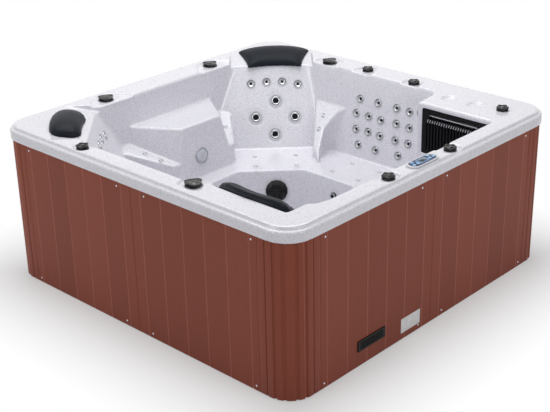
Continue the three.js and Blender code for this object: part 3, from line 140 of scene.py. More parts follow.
class HotTubColours(bpy.types.PropertyGroup):
    """Colours of the finishes"""

    acrylic: colour("Acrylic", "Pale ground of the acrylic", (0.76, 0.755, 0.81))
    acrylic_fleck: colour("Acrylic fleck", "Darker flecks in the acrylic", (0.5, 0.495, 0.545))
    board: colour("Board", "Red-brown of the skirt boards", (0.256, 0.066, 0.04))
    pillow: colour("Pillow", "Near-black of the pillows", (0.006, 0.008, 0.012))
    black: colour("Black plastic", "Knobs, bores, grille and vent", (0.006, 0.006, 0.007))
    jet: colour("Jet plastic", "Pale grey of the jet faces", (0.55, 0.55, 0.58))
    metal: colour("Bright metal", "Jet rings and the ring of the light", (0.55, 0.56, 0.59))
    overlay: colour("Panel overlay", "Navy ends of the control panel", (0.015, 0.035, 0.1))
    overlay_waist: colour("Panel waist", "Light blue middle of the control panel", (0.13, 0.23, 0.4))
    display: colour("Display", "Grey-green window of the display", (0.025, 0.04, 0.038))
    button: colour("Button", "Light blue of the buttons", (0.3, 0.5, 0.72))
    bezel: colour("Bezel", "Light grey rim of the control panel", (0.6, 0.61, 0.64))
    lens: colour("Lens", "Milky lens of the light", (0.6, 0.62, 0.69))
    timber: colour("Timber", "Softwood of the side frames", (0.5, 0.31, 0.15))
    steel: colour("Steel", "Steel of the pump's rotor and the spa pack", (0.3, 0.31, 0.33))
    paper: colour("Filter paper", "Pleated paper of the cartridge", (0.72, 0.73, 0.7))
    plate: colour("Plate", "Blank plate on the skirt", (0.8, 0.8, 0.8))
    floor: colour("Floor", "Plain floor under the tub", (0.8, 0.8, 0.81))


# Modelling by hand, in code


def clear_selection():
    if bpy.context.object and bpy.context.object.mode != "OBJECT":
        bpy.ops.object.mode_set(mode="OBJECT")
    bpy.ops.object.select_all(action="DESELECT")


def take(*pieces):
    """Selects these pieces alone, the first one active."""
    clear_selection()
    for piece in pieces:
        piece.select_set(True)
    bpy.context.view_layer.objects.active = pieces[0]


@contextmanager
def editing(piece):
    """Edit mode on one piece, with all of it selected at first."""
    take(piece)
    bpy.ops.object.mode_set(mode="EDIT")
    bpy.ops.mesh.select_mode(type="VERT")
    select_all()
    yield
    bpy.ops.object.mode_set(mode="OBJECT")


def select_all():
    bpy.ops.mesh.select_all(action="SELECT")


def choose(piece, test, kind="VERT"):
    """Selects, in edit mode, only the vertices, edges or faces that pass the test."""
    bpy.ops.mesh.select_mode(type=kind)
    bpy.ops.mesh.select_all(action="DESELECT")
    mesh = bmesh.from_edit_mesh(piece.data)
    parts = {"VERT": mesh.verts, "EDGE": mesh.edges, "FACE": mesh.faces}[kind]
    for part in parts:
        if test(part):
            part.select_set(True)
    mesh.select_flush_mode()
    bmesh.update_edit_mesh(piece.data)


def named(name):
    """The piece that an operator has just added, renamed."""
    piece = bpy.context.object
    piece.name = name
    piece.data.name = name
    return piece


def added(make, name, **settings):
    """A new piece, made by one of Blender's own shapes."""
    clear_selection()
    make(**settings)
    return named(name)


def apply_modifier(piece, kind, **settings):
    take(piece)
    modifier = piece.modifiers.new(kind.title(), kind)
    for setting, value in settings.items():
        setattr(modifier, setting, value)
    bpy.ops.object.modifier_apply(modifier=modifier.name)


def bevelled(piece, width, segments=3, angle=30.0):
    limit = {"limit_method": "ANGLE", "angle_limit": math.radians(angle)}
    apply_modifier(piece, "BEVEL", width=width, segments=segments, **limit)


def close_up(piece):
    """Merges doubles and points every face outwards."""
    with editing(piece):
        bpy.ops.mesh.remove_doubles(threshold=MERGE)
        bpy.ops.mesh.normals_make_consistent(inside=False)


def shade(piece, angle=40.0):
    take(piece)
    bpy.ops.object.shade_smooth_by_angle(angle=math.radians(angle))


def turned(name, profile, sides=40):
    """A shape turned round Z from its profile of (radius, height) points."""
    piece = added(bpy.ops.mesh.primitive_plane_add, name, size=0.01)
    with editing(piece):
        bpy.ops.mesh.merge(type="CENTER")
        radius, height = profile[0]
        bpy.ops.transform.translate(value=(radius, 0.0, height))
        for next_radius, next_height in profile[1:]:
            step = (next_radius - radius, 0.0, next_height - height)
            bpy.ops.mesh.extrude_vertices_move(TRANSFORM_OT_translate={"value": step})
            radius, height = next_radius, next_height
        select_all()
        bpy.ops.mesh.spin(steps=sides, angle=2 * math.pi, center=(0, 0, 0), axis=(0, 0, 1))
    close_up(piece)
    return piece


def outlined(name, rows, radius, sides=40, tall=1.0):
    """A turned shape from rows of a share of its radius, a length added to that, and a height."""
    profile = [(radius * share + extra, height * tall) for share, extra, height in rows]
    return turned(name, profile, sides)


def copy_of(source, name, matrix=None):
    """A copy with its own mesh, moved by the matrix in its mesh."""
    copy = source.copy()
    copy.data = source.data.copy()
    copy.name = name
    copy.data.name = name
    copy.parent = None
    for collection in source.users_collection:
        collection.objects.link(copy)
    if matrix is not None:
        copy.data.transform(matrix)
    return copy


def cad_copy(node, name):
    """A CAD node's shape as a piece of its own, with its loose triangles merged."""
    piece = copy_of(frame["nodes"][node], name)
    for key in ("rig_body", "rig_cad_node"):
        if key in piece:
            del piece[key]
    piece.data.materials.clear()
    with editing(piece):
        bpy.ops.mesh.remove_doubles(threshold=MERGE)
    return piece


def repeated(master, name, places):
    """The master copied to each place, as one piece."""
    copies = [copy_of(master, name, place) for place in places]
    bpy.data.objects.remove(master)
    return joined(name, *copies)


def joined(name, *pieces):
    """The pieces joined to one."""
    take(*pieces)
    if len(pieces) > 1:
        bpy.ops.object.join()
    return named(name)


def ring(name, inner, outer, low, high, edge, sides=40):
    """A closed ring round Z, with the edges of its face rounded."""
    corner = edge * 0.3
    profile = [(inner, low), (outer, low), (outer, high - edge), (outer - corner, high - corner)]
    profile += [(outer - edge, high), (inner + edge, high), (inner + corner, high - corner)]
    return turned(name, [*profile, (inner, high - edge), (inner, low)], sides)


def block(name, size, edge, place=None):
    """A rounded block: a cube shaped to its sizes, with bevelled edges."""
    piece = added(bpy.ops.mesh.primitive_cube_add, name, size=1.0)
    with editing(piece):
        bpy.ops.transform.resize(value=size)
    bevelled(piece, edge, 2)
    shade(piece, 35.0)
    if place is not None:
        piece.data.transform(place)
    return piece


def cut_off(piece, point, normal):
    """Cuts away all of a piece that lies beyond a plane, and closes the cut."""
    with editing(piece):
        bpy.ops.mesh.bisect(plane_co=point, plane_no=normal, use_fill=True, clear_outer=True)


def on_shell(x, y):
    """The shell's surface under a point of the plan: its place and normal."""
    mesh = bmesh.new()
    mesh.from_mesh(frame["nodes"]["acrylic_shell"].data)
    tree = BVHTree.FromBMesh(mesh)
    mesh.free()
    place, normal, _, _ = tree.ray_cast(Vector((x, y, ABOVE_ALL)), -UP)
    if place is None:
        raise RuntimeError(f"no shell under {x}, {y}")
    return place, normal


def facing(place, normal, along=UP):
    """The matrix that stands a piece at a place, with its Z along the normal."""
    forward = Vector(normal).normalized()
    side = Vector(along).cross(forward)
    if side.length < PARALLEL:
        side = Vector((0.0, 1.0, 0.0)).cross(forward)
    side.normalize()
    rise = forward.cross(side)
    turn = Matrix((side, rise, forward)).transposed().to_4x4()
    return Matrix.Translation(place) @ turn


def plan_middle(low, high):
    """The middle of a box in plan, at height 0."""
    return Vector(((low.x + high.x) / 2, (low.y + high.y) / 2, 0.0))


def finish_piece(piece, material, body=TUB, hides=(), place=None, smooth=None):
    """Gives a piece its place, shading, material and body, and hides the CAD nodes that it stands for."""
    if place is not None:
        piece.data.transform(place)
    if smooth:
        shade(piece, smooth)
    piece.data.materials.clear()
    piece.data.materials.append(material)
    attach(piece, body)
    if hides:
        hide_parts(*hides)


def dress_node(node, material):
    """Gives a CAD node that stays in view its material."""
    target = frame["nodes"][node]
    for entry in target.material_slots:
        entry.material = material


RIM_SHARE = 0.97
FEWEST_RIM_POINTS = 6
LEAST_TOWARDS_WATER = 0.3


def round_faces(node):
    """The flat round faces of a CAD node that look into the water: (middle, normal, radius)."""
    mesh = bmesh.new()
    mesh.from_mesh(frame["nodes"][node].data)
    bmesh.ops.remove_doubles(mesh, verts=mesh.verts, dist=MERGE)
    mesh.normal_update()
    seen = set()
    found = []
    for start in mesh.faces:
        if start in seen:
            continue
        patch = {start}
        queue = [start]
        while queue:
            face = queue.pop()
            for edge in face.edges:
                for other in edge.link_faces:
                    if other not in patch and other.normal.dot(start.normal) > FLAT:
                        patch.add(other)
                        queue.append(other)
        seen |= patch
        points = [point.co for point in {point for face in patch for point in face.verts}]
        middle = sum(points, Vector()) / len(points)
        distances = [(point - middle).length for point in points]
        reach = max(distances)
        on_rim = sum(1 for distance in distances if distance > RIM_SHARE * reach)
        to_water = start.normal.dot((WATER_MIDDLE - middle).normalized())
        if on_rim >= FEWEST_RIM_POINTS and to_water > LEAST_TOWARDS_WATER:
            found.append((middle, start.normal.copy(), reach))
    mesh.free()
    return found


# Materials


class Wire:
    """A socket of a material's tree. Arithmetic on it adds Math nodes."""

    def __init__(self, finish, socket):
        self.finish = finish
        self.socket = socket


def math_method(operation):
    """A method that puts a wire, and what it is combined with, into a Math node."""

    def method(self, *others):
        inputs = dict(enumerate((self, *others)))
        return self.finish.node("ShaderNodeMath", {"operation": operation}, inputs)

    return method


WIRE_METHODS = {
    "__add__": "ADD",
    "__radd__": "ADD",
    "__sub__": "SUBTRACT",
    "__mul__": "MULTIPLY",
    "__truediv__": "DIVIDE",
    "rounded_down": "FLOOR",
    "size": "ABSOLUTE",
    "at_most": "MINIMUM",
    "at_least": "MAXIMUM",
    "above": "GREATER_THAN",
    "sine": "SINE",
    "angle_over": "ARCTAN2",
}
for method_name, math_operation in WIRE_METHODS.items():
    setattr(Wire, method_name, math_method(math_operation))


class Finish:
    """A material under construction, its node tree empty at first."""

    def __init__(self, name, world=None):
        self.material = world or bpy.data.materials.new(name)
        self.material.use_nodes = True
        self.tree = self.material.node_tree
        self.tree.nodes.clear()

    def node(self, kind, settings=None, inputs=None, output=0):
        """Adds a node with its settings first, then its inputs, and returns one of its outputs."""
        made = self.tree.nodes.new(kind)
        for setting, value in (settings or {}).items():
            if setting == "stops":
                self._set_stops(made.color_ramp, value)
            else:
                setattr(made, setting, value)
        for entry, value in (inputs or {}).items():
            if isinstance(value, Wire):
                self.tree.links.new(value.socket, made.inputs[entry])
            else:
                made.inputs[entry].default_value = value
        return None if output is None else Wire(self, made.outputs[output])

    def _set_stops(self, ramp, stops):
        while len(ramp.elements) < len(stops):
            ramp.elements.new(1.0)
        for element, (position, value) in zip(ramp.elements, stops):
            element.position = position
            element.color = (value, value, value, 1.0)

    def place(self, scale=(1.0, 1.0, 1.0), turn=(0.0, 0.0, 0.0)):
        """The point on the piece, stretched by a scale for each axis."""
        point = self.node("ShaderNodeTexCoord", output="Object")
        return self.node("ShaderNodeMapping", {}, {"Vector": point, "Rotation": turn, "Scale": scale})

    def axes(self, vector):
        """The three numbers of a vector."""
        parts = self.node("ShaderNodeSeparateXYZ", {}, {0: vector})
        outputs = parts.socket.node.outputs
        return [Wire(self, outputs[axis]) for axis in range(3)]

    def noise(self, place, scale, detail=2.0, roughness=0.5):
        inputs = {"Vector": place, "Scale": scale, "Detail": detail, "Roughness": roughness}
        return self.node("ShaderNodeTexNoise", {}, inputs)

    def ramp(self, value, *stops):
        """The value put through (position, level) stops."""
        return self.node("ShaderNodeValToRGB", {"stops": stops}, {0: value})

    def blend(self, amount, first, second):
        """A colour between two colours."""
        inputs = {0: amount, 6: opaque(first), 7: opaque(second)}
        return self.node("ShaderNodeMix", {"data_type": "RGBA"}, inputs, output=2)

    def bump(self, height, distance, strength=1.0):
        inputs = {"Strength": strength, "Distance": distance, "Height": height}
        return self.node("ShaderNodeBump", {}, inputs)

    def done(self, **sockets):
        """Ends the material in a surface shader with these sockets, named with underscores."""
        inputs = {}
        for entry, value in sockets.items():
            label = entry.replace("_", " ").title().replace("Ior", "IOR")
            inputs[label] = opaque(value) if label in ("Base Color", "Emission Color") else value
        surface = self.node("ShaderNodeBsdfPrincipled", {}, inputs)
        self.node("ShaderNodeOutputMaterial", {}, {"Surface": surface}, output=None)
        return self.material


def opaque(value):
    return value if isinstance(value, Wire) else (*tuple(value)[:3], 1.0)


def tinted(tint, factor, lift=0.0):
    """A colour made darker or paler."""
    return [min(1.0, value * factor + lift) for value in tint]


def colours():
    return bpy.context.scene.hot_tub_colours


def sizes():
    return bpy.context.scene.hot_tub_sizes


BOARD_PITCH = 0.145
# The share of a board's pitch on each side of a groove that is painted paler: a painted highlight on the
# groove's edges.
GROOVE_HIGHLIGHT_SHARE = 0.021
BOARD_GRAIN = 0.0006
PLASTIC_GRAIN = 0.0002
LEATHER_GRAIN = 0.0003
TIMBER_GRAIN = 0.0004
FOLDS_ROUND = 90.0
FOLD_DEPTH = 0.002


def acrylic_finish():
    """Pale acrylic with fine flecks under a clear gloss."""
    finish = Finish("acrylic")
    place = finish.place()
    fine = finish.ramp(finish.noise(place, scale=260.0, detail=1.0), (0.47, 0.0), (0.64, 1.0))
    broad = finish.ramp(finish.noise(place, scale=95.0), (0.5, 0.0), (0.7, 1.0))
    flecks = (fine * 0.62 + broad * 0.34).at_most(1.0)
    base = finish.blend(flecks, colours().acrylic, colours().acrylic_fleck)
    gloss = finish.noise(place, scale=9.0) * 0.06 + 0.1
    return finish.done(base_color=base, roughness=gloss, coat_weight=0.35, coat_roughness=0.06)


def board_finish(name, across):
    """Wood-look boards: fine streaks down the grain, a tone for each board across the face, and a painted
    highlight in pale lines along the grooves between boards.
    """
    finish = Finish(name)
    tint = colours().board
    count = finish.axes(finish.place())[across] / BOARD_PITCH + 0.5
    board = count.rounded_down()
    tone = finish.node("ShaderNodeTexWhiteNoise", {"noise_dimensions": "1D"}, {"W": board})
    grain = finish.noise(finish.place((70.0, 70.0, 2.2)), scale=4.0, detail=4.0, roughness=0.6)
    fine = finish.noise(finish.place((260.0, 260.0, 7.0)), scale=4.0)
    level = 0.8 + grain * 0.28 + (tone - 0.5) * 0.16 + (fine - 0.5) * 0.2
    boards = finish.blend((level - 0.5).at_least(0.0), tinted(tint, 0.55), tinted(tint, 1.45))
    # Pale lines along the grooves between boards: a painted highlight on the grooves' edges, stronger
    # where the grain is high.
    line = (count - board - 0.5).size().above(0.5 - GROOVE_HIGHLIGHT_SHARE)
    base = finish.blend(line * (0.35 + grain * 0.5), boards, tinted(tint, 1.7, 0.1))
    bump = finish.bump(grain * 0.5 + fine * 0.5, BOARD_GRAIN, 0.5)
    gloss = 0.42 + fine * 0.16
    return finish.done(base_color=base, roughness=gloss, specular_ior_level=0.16, normal=bump)


def plastic_finish(name, tint, roughness=0.3, specular=0.3):
    """Moulded plastic: a slight texture and a gloss that varies a little."""
    finish = Finish(name)
    place = finish.place()
    wear = finish.noise(place, scale=40.0, detail=3.0)
    base = finish.blend(wear, tinted(tint, 0.8), tinted(tint, 1.15, 0.002))
    bump = finish.bump(finish.noise(place, scale=900.0), PLASTIC_GRAIN, 0.4)
    gloss = wear * 0.12 + (roughness - 0.06)
    return finish.done(base_color=base, roughness=gloss, specular_ior_level=specular, normal=bump)


def metal_finish(name, tint, roughness=0.16):
    """Polished metal with a faint unevenness."""
    finish = Finish(name)
    marks = finish.noise(finish.place(), scale=300.0, detail=3.0)
    base = finish.blend(marks, tinted(tint, 0.9), tint)
    return finish.done(base_color=base, metallic=1.0, roughness=marks * 0.1 + (roughness - 0.05))


def pillow_finish():
    """Skinned foam: near-black, with a fine leather grain."""
    finish = Finish("pillow skin")
    place = finish.place()
    settings = {"feature": "DISTANCE_TO_EDGE"}
    cells = finish.node("ShaderNodeTexVoronoi", settings, {"Vector": place, "Scale": 420.0})
    wear = finish.noise(place, scale=12.0, detail=3.0)
    base = finish.blend(wear, tinted(colours().pillow, 0.75), tinted(colours().pillow, 1.6))
    bump = finish.bump(finish.ramp(cells, (0.0, 0.0), (0.3, 1.0)), LEATHER_GRAIN, 0.4)
    return finish.done(base_color=base, roughness=wear * 0.12 + 0.34, specular_ior_level=0.1, normal=bump)


def timber_finish():
    """Planed softwood with darker streaks along the grain."""
    finish = Finish("frame timber")
    grain = finish.noise(finish.place((6.0, 6.0, 60.0)), scale=5.0, detail=5.0, roughness=0.6)
    streaks = finish.ramp(grain, (0.35, 0.0), (0.7, 1.0))
    base = finish.blend(streaks, colours().timber, tinted(colours().timber, 0.6))
    bump = finish.bump(grain, TIMBER_GRAIN, 0.5)
    return finish.done(base_color=base, roughness=grain * 0.2 + 0.55, normal=bump)


def paper_finish():
    """Pleated filter paper: fine folds round the cartridge, with painted shade darkening the valleys of
    the folds.
    """
    finish = Finish("filter paper")
    middle = plan_middle(*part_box("filter_cartridge"))
    x, y, _ = finish.axes(finish.place())
    angle = (y - middle.y).angle_over(x - middle.x)
    folds = (angle * FOLDS_ROUND).sine() * 0.5 + 0.5
    # The folds' valleys are painted darker: painted shade in the creases.
    base = finish.blend(folds, tinted(colours().paper, 0.72), colours().paper)
    bump = finish.bump(folds, FOLD_DEPTH, 0.7)
    return finish.done(base_color=base, roughness=folds * 0.1 + 0.8, normal=bump)


# Operators, one for each kind of piece


class HOTTUB_OT_stage(bpy.types.Operator):
    """Add the floor, the lamps, the world's light and the camera"""

    bl_idname = "hot_tub.stage"
    bl_label = "Stage"

    def execute(self, context):
        add_floor()
        for name, at, energy, size in LAMPS:
            add_lamp(name, at, energy, size)
        light_world()
        add_camera()
        return {"FINISHED"}


CAMERA_AT = Vector((-4.3474, -4.1072, 3.0445))
CAMERA_AZIMUTH = math.radians(-46.4211)
CAMERA_ELEVATION = math.radians(24.2771)
CAMERA_ROLL = math.radians(-1.2258)
FOCAL_PIXELS = 1183.9
PICTURE_WIDTH = 550
SENSOR_WIDTH = 36.0
FARTHEST_SEEN = 60.0
LAMPS = (
    ("lamp_over", (0.4, 0.6, 4.2), 130.0, 3.4),
    ("lamp_left", (-4.6, 0.4, 2.6), 44.0, 2.2),
    ("lamp_front", (-0.4, -4.8, 2.4), 46.0, 2.2),
)
FLOOR_REACH = 14.0
SHADOW_REACH = 0.55
WORLD_LEVEL = 0.27
WHITE = (1.0, 1.0, 1.0, 1.0)


def add_camera():
    """The camera at the photograph's viewing angle."""
    level_back = Vector((math.sin(CAMERA_AZIMUTH), -math.cos(CAMERA_AZIMUTH), 0.0))
    back = level_back * math.cos(CAMERA_ELEVATION) + UP * math.sin(CAMERA_ELEVATION)
    level_right = UP.cross(back).normalized()
    level_up = back.cross(level_right)
    right = level_right * math.cos(CAMERA_ROLL) + level_up * math.sin(CAMERA_ROLL)
    rise = level_up * math.cos(CAMERA_ROLL) - level_right * math.sin(CAMERA_ROLL)
    clear_selection()
    bpy.ops.object.camera_add()
    camera = bpy.context.object
    camera.name = "camera"
    turn = Matrix((right, rise, back)).transposed().to_4x4()
    camera.matrix_world = Matrix.Translation(CAMERA_AT) @ turn
    camera.data.sensor_width = SENSOR_WIDTH
    camera.data.lens = SENSOR_WIDTH * FOCAL_PIXELS / PICTURE_WIDTH
    camera.data.clip_end = FARTHEST_SEEN
    bpy.context.scene.camera = camera


def add_lamp(name, at, energy, size):
    """A square soft box that looks at the tub."""
    clear_selection()
    bpy.ops.object.light_add(type="AREA", location=at)
    lamp = bpy.context.object
    lamp.name = name
    lamp.data.energy = energy
    lamp.data.size = size
    aim = (WATER_MIDDLE - Vector(at)).to_track_quat("-Z", "Y")
    lamp.rotation_euler = aim.to_euler()


def seen_directly(finish):
    """1 for the camera, for reflections and through glass; 0 for the light on the object."""
    path = finish.node("ShaderNodeLightPath", output="Is Camera Ray")
    outputs = path.socket.node.outputs
    glossy = Wire(finish, outputs["Is Glossy Ray"])
    through = Wire(finish, outputs["Is Transmission Ray"])
    return path.at_least(glossy).at_least(through)


def light_world():
    """A soft even light, and a white background."""
    scene = bpy.context.scene
    scene.world = scene.world or bpy.data.worlds.new("world")
    finish = Finish("world", scene.world)
    light = finish.node("ShaderNodeBackground", {}, {"Color": WHITE, "Strength": WORLD_LEVEL})
    white = finish.node("ShaderNodeBackground", {}, {"Color": WHITE, "Strength": 1.0})
    mixed = finish.node("ShaderNodeMixShader", {}, {0: seen_directly(finish), 1: light, 2: white})
    finish.node("ShaderNodeOutputWorld", {}, {"Surface": mixed}, output=None)
    scene.view_settings.view_transform = "Standard"


def add_floor():
    """A pale floor that turns white away from the tub and keeps its shadow."""
    circle = bpy.ops.mesh.primitive_circle_add
    floor = added(circle, "floor", vertices=96, radius=FLOOR_REACH, fill_type="NGON")
    finish = Finish("floor")
    point = finish.place()
    x, y, _ = finish.axes(point)
    beyond = x.size().at_least(y.size()) - SHELL_HALF
    far = finish.ramp(beyond / SHADOW_REACH, (0.0, 0.35), (1.0, 1.0))
    base = finish.blend(finish.noise(point, scale=3.0), tinted(colours().floor, 0.985), colours().floor)
    plain = finish.node("ShaderNodeBsdfDiffuse", {}, {"Color": base})
    white = finish.node("ShaderNodeEmission", {}, {"Color": WHITE, "Strength": 1.0})
    amount = far * seen_directly(finish)
    mixed = finish.node("ShaderNodeMixShader", {}, {0: amount, 1: plain, 2: white})
    finish.node("ShaderNodeOutputMaterial", {}, {"Surface": mixed}, output=None)
    floor.data.materials.append(finish.material)


class HOTTUB_OT_shell(bpy.types.Operator):
    """Round off the acrylic shell over its CAD form"""

    bl_idname = "hot_tub.shell"
    bl_label = "Acrylic shell"

    def execute(self, context):
        shell = cad_copy("acrylic_shell", "tub_shell")
        apply_modifier(shell, "REMESH", mode="VOXEL", voxel_size=sizes().shell_grid)
        soften_basin(shell)
        ratio = sizes().shell_faces / (2 * len(shell.data.polygons))
        if ratio < 1.0:
            apply_modifier(shell, "DECIMATE", ratio=ratio)
        take(shell)
        bpy.ops.object.shade_smooth()
        finish_piece(shell, acrylic_finish(), hides=["acrylic_shell"])
        return {"FINISHED"}


BASIN_REACH = 0.93
BASIN_LEVEL = 0.84
CRISP_SHARE = 0.25


def soften_basin(shell):
    """Smooths the basin's corners more than the rim's crisp edges."""
    group = shell.vertex_groups.new(name="basin")
    soft = []
    crisp = []
    for point in shell.data.vertices:
        inside = abs(point.co.x) < BASIN_REACH and abs(point.co.y) < BASIN_REACH
        (soft if inside and point.co.z < BASIN_LEVEL else crisp).append(point.index)
    group.add(soft, 1.0, "REPLACE")
    group.add(crisp, CRISP_SHARE, "REPLACE")
    apply_modifier(shell, "SMOOTH", factor=0.5, iterations=6, vertex_group="basin")
    shell.vertex_groups.clear()


class HOTTUB_OT_pillows(bpy.types.Operator):
    """Shape the three head pillows and let them swell"""

    bl_idname = "hot_tub.pillows"
    bl_label = "Head pillows"

    def execute(self, context):
        skin = pillow_finish()
        for node, place, shape in pillow_places():
            pillow = pillow_form(f"{node}_skin", shape)
            swell_pillow(pillow)
            pillow.data.transform(place)
            take(pillow)
            bpy.ops.object.shade_smooth()
            finish_piece(pillow, skin, hides=[node])
        return {"FINISHED"}


CORNER_PILLOW_REACH = 1.2075
PILLOW_LEVEL = 0.884
CORNER_PILLOW_TILT = math.radians(11.0)
LOUNGE_PILLOW_AT = Vector((-0.89775, -0.63, PILLOW_LEVEL))
LOUNGE_PILLOW_TILT = math.radians(32.0)
LOUNGE_PILLOW_WIDTH = 0.452
PILLOW_COLUMNS = 30
PILLOW_ROWS = 12
PILLOW_FLARE = 1.6
PILLOW_LIP = 0.009
PRESSURE = 4.0
SWELL_STEPS = 20


def pillow_frame(at, outward, tilt):
    """X along the pillow, Y away from the water, Z off its bed."""
    away = outward * math.cos(tilt) + UP * math.sin(tilt)
    along = Vector((outward.y, -outward.x, 0.0))
    rise = along.cross(away)
    return Matrix.Translation(at) @ Matrix((along, away, rise)).transposed().to_4x4()


def pillow_shapes():
    """Each pillow's shape.

    Its width, height, thickness, bend and shift to one side are lengths. The rest are shares and powers:
    front is the front edge's share of the width, crest is where it is thickest, steep and back form
    its two slopes, fullness its ends, round rounds off its corners and level lifts its bent ends.
    """
    back = {
        "width": sizes().pillow_width,
        "height": sizes().pillow_height,
        "thickness": sizes().pillow_thickness,
        "bend": sizes().pillow_bend,
        "shift": 0.019,
        "front": 0.74,
        "crest": 0.55,
        "steep": 0.45,
        "back": 0.3,
        "fullness": 3.2,
        "round": 0.0,
        "level": 0.0,
    }
    left = back | {
        "width": sizes().pillow_width * 0.84,
        "height": sizes().pillow_height * 0.78,
        "thickness": sizes().pillow_thickness * 1.13,
        "bend": sizes().pillow_bend * 0.3,
        "shift": -0.03,
        "front": 0.9,
        "crest": 0.42,
        "steep": 0.38,
        "fullness": 2.4,
        "round": 0.32,
    }
    lounge = back | {
        "width": LOUNGE_PILLOW_WIDTH,
        "thickness": sizes().lounge_pillow_thickness,
        "bend": sizes().lounge_pillow_bend,
        "shift": 0.0,
        "front": 0.8,
        "crest": 0.85,
        "steep": 0.9,
        "back": 0.8,
        "fullness": 5.0,
        "level": 0.5 * math.sin(LOUNGE_PILLOW_TILT),
    }
    return back, left, lounge


def pillow_places():
    """Each pillow's node, place and shape."""
    back, left, lounge = pillow_shapes()
    places = []
    for node, side, shape in (("back_corner_pillow", 1.0, back), ("left_corner_pillow", -1.0, left)):
        outward = Vector((side, 1.0, 0.0)).normalized()
        at = outward * CORNER_PILLOW_REACH + UP * PILLOW_LEVEL
        places.append((node, pillow_frame(at, outward, CORNER_PILLOW_TILT), shape))
    place = pillow_frame(LOUNGE_PILLOW_AT, WEST, LOUNGE_PILLOW_TILT)
    return [*places, ("lounge_pillow", place, lounge)]


def pillow_point(shape, across, away):
    """A point of the pillow's top, for shares -1 to 1 across it and 0 to 1 away from its front edge."""
    reach = shape["front"] + (1.0 - shape["front"]) * away**PILLOW_FLARE
    reach *= 1.0 - shape["round"] * (2.0 * away - 1.0) ** 4
    x = across * reach * shape["width"] / 2 + shape["shift"]
    bend = shape["bend"] * across * across
    y = -shape["height"] + away * shape["height"] - bend * (0.5 + 0.5 * away)
    side = (1.0 - abs(across) ** shape["fullness"]) ** 0.5
    front = min(1.0, away / shape["crest"])
    back = min(1.0, (1.0 - away) / (1.0 - shape["crest"]))
    edge = shape["back"] + (1.0 - shape["back"]) * math.sin(back * math.pi / 2) ** 0.8
    crown = math.sin(front * math.pi / 2) ** shape["steep"] * edge
    z = PILLOW_LIP + (shape["thickness"] - PILLOW_LIP + bend * shape["level"]) * side * crown
    return Vector((x, y, z))


def pillow_form(name, shape):
    """A crowned leaf with flared tips: a grid shaped to its outline, then closed to its flat bed."""
    grid = {"x_subdivisions": PILLOW_COLUMNS, "y_subdivisions": PILLOW_ROWS, "size": 2.0}
    pillow = added(bpy.ops.mesh.primitive_grid_add, name, **grid)
    for point in pillow.data.vertices:
        point.co = pillow_point(shape, point.co.x, (point.co.y + 1.0) / 2)
    with editing(pillow):
        choose(pillow, lambda edge: edge.is_boundary, "EDGE")
        bpy.ops.mesh.extrude_region_move(TRANSFORM_OT_translate={"value": (0.0, 0.0, -PILLOW_LIP)})
        bpy.ops.transform.resize(value=(1.0, 1.0, 0.0), center_override=(0.0, 0.0, 0.0))
        bpy.ops.mesh.edge_face_add()
        select_all()
        bpy.ops.mesh.normals_make_consistent(inside=False)
    return pillow


def swell_pillow(pillow):
    """Rounds a pillow off on a fine grid, lets its skin swell under pressure and caps the swelling."""
    apply_modifier(pillow, "REMESH", mode="VOXEL", voxel_size=sizes().pillow_grid)
    apply_modifier(pillow, "SMOOTH", factor=0.5, iterations=4)
    before = [point.co.copy() for point in pillow.data.vertices]
    bed = pillow.vertex_groups.new(name="bed")
    flat = [point.index for point in pillow.data.vertices if point.co.z < PILLOW_LIP / 2]
    bed.add(flat, 1.0, "REPLACE")
    take(pillow)
    cloth = pillow.modifiers.new("Cloth", "CLOTH")
    cloth.settings.use_pressure = True
    cloth.settings.uniform_pressure_force = PRESSURE
    cloth.settings.vertex_group_mass = "bed"
    cloth.settings.effector_weights.gravity = 0.0
    for step in range(1, SWELL_STEPS + 1):
        bpy.context.scene.frame_set(step)
    bpy.ops.object.modifier_apply(modifier=cloth.name)
    bpy.context.scene.frame_set(1)
    pillow.vertex_groups.clear()
    for point, start in zip(pillow.data.vertices, before):
        move = point.co - start
        if move.length > sizes().pillow_swell:
            point.co = start + move * (sizes().pillow_swell / move.length)
    apply_modifier(pillow, "SUBSURF", levels=1, render_levels=1)


class HOTTUB_OT_posts(bpy.types.Operator):
    """Bend the four fluted corner posts of the skirt"""

    bl_idname = "hot_tub.posts"
    bl_label = "Corner posts"

    def execute(self, context):
        master = corner_post()
        for turn, side in enumerate(SIDES):
            post = copy_of(master, f"{side}_post", Matrix.Rotation(turn * math.pi / 2, 4, "Z"))
            boards = board_finish(f"{side} post boards", turn % 2)
            finish_piece(post, boards, hides=[f"{side}_corner_post"])
        bpy.data.objects.remove(master)
        return {"FINISHED"}


POST_STEPS = 120
FLUTE_SHARES = (0.355, 0.139, -0.139, -0.355)
# Each press is a share of the flute's half width, and a share of its depth.
FLUTE_PRESSES = ((1.0, 0.45), (0.62, 0.35), (0.25, 0.2))
POST_EDGE = 0.0015


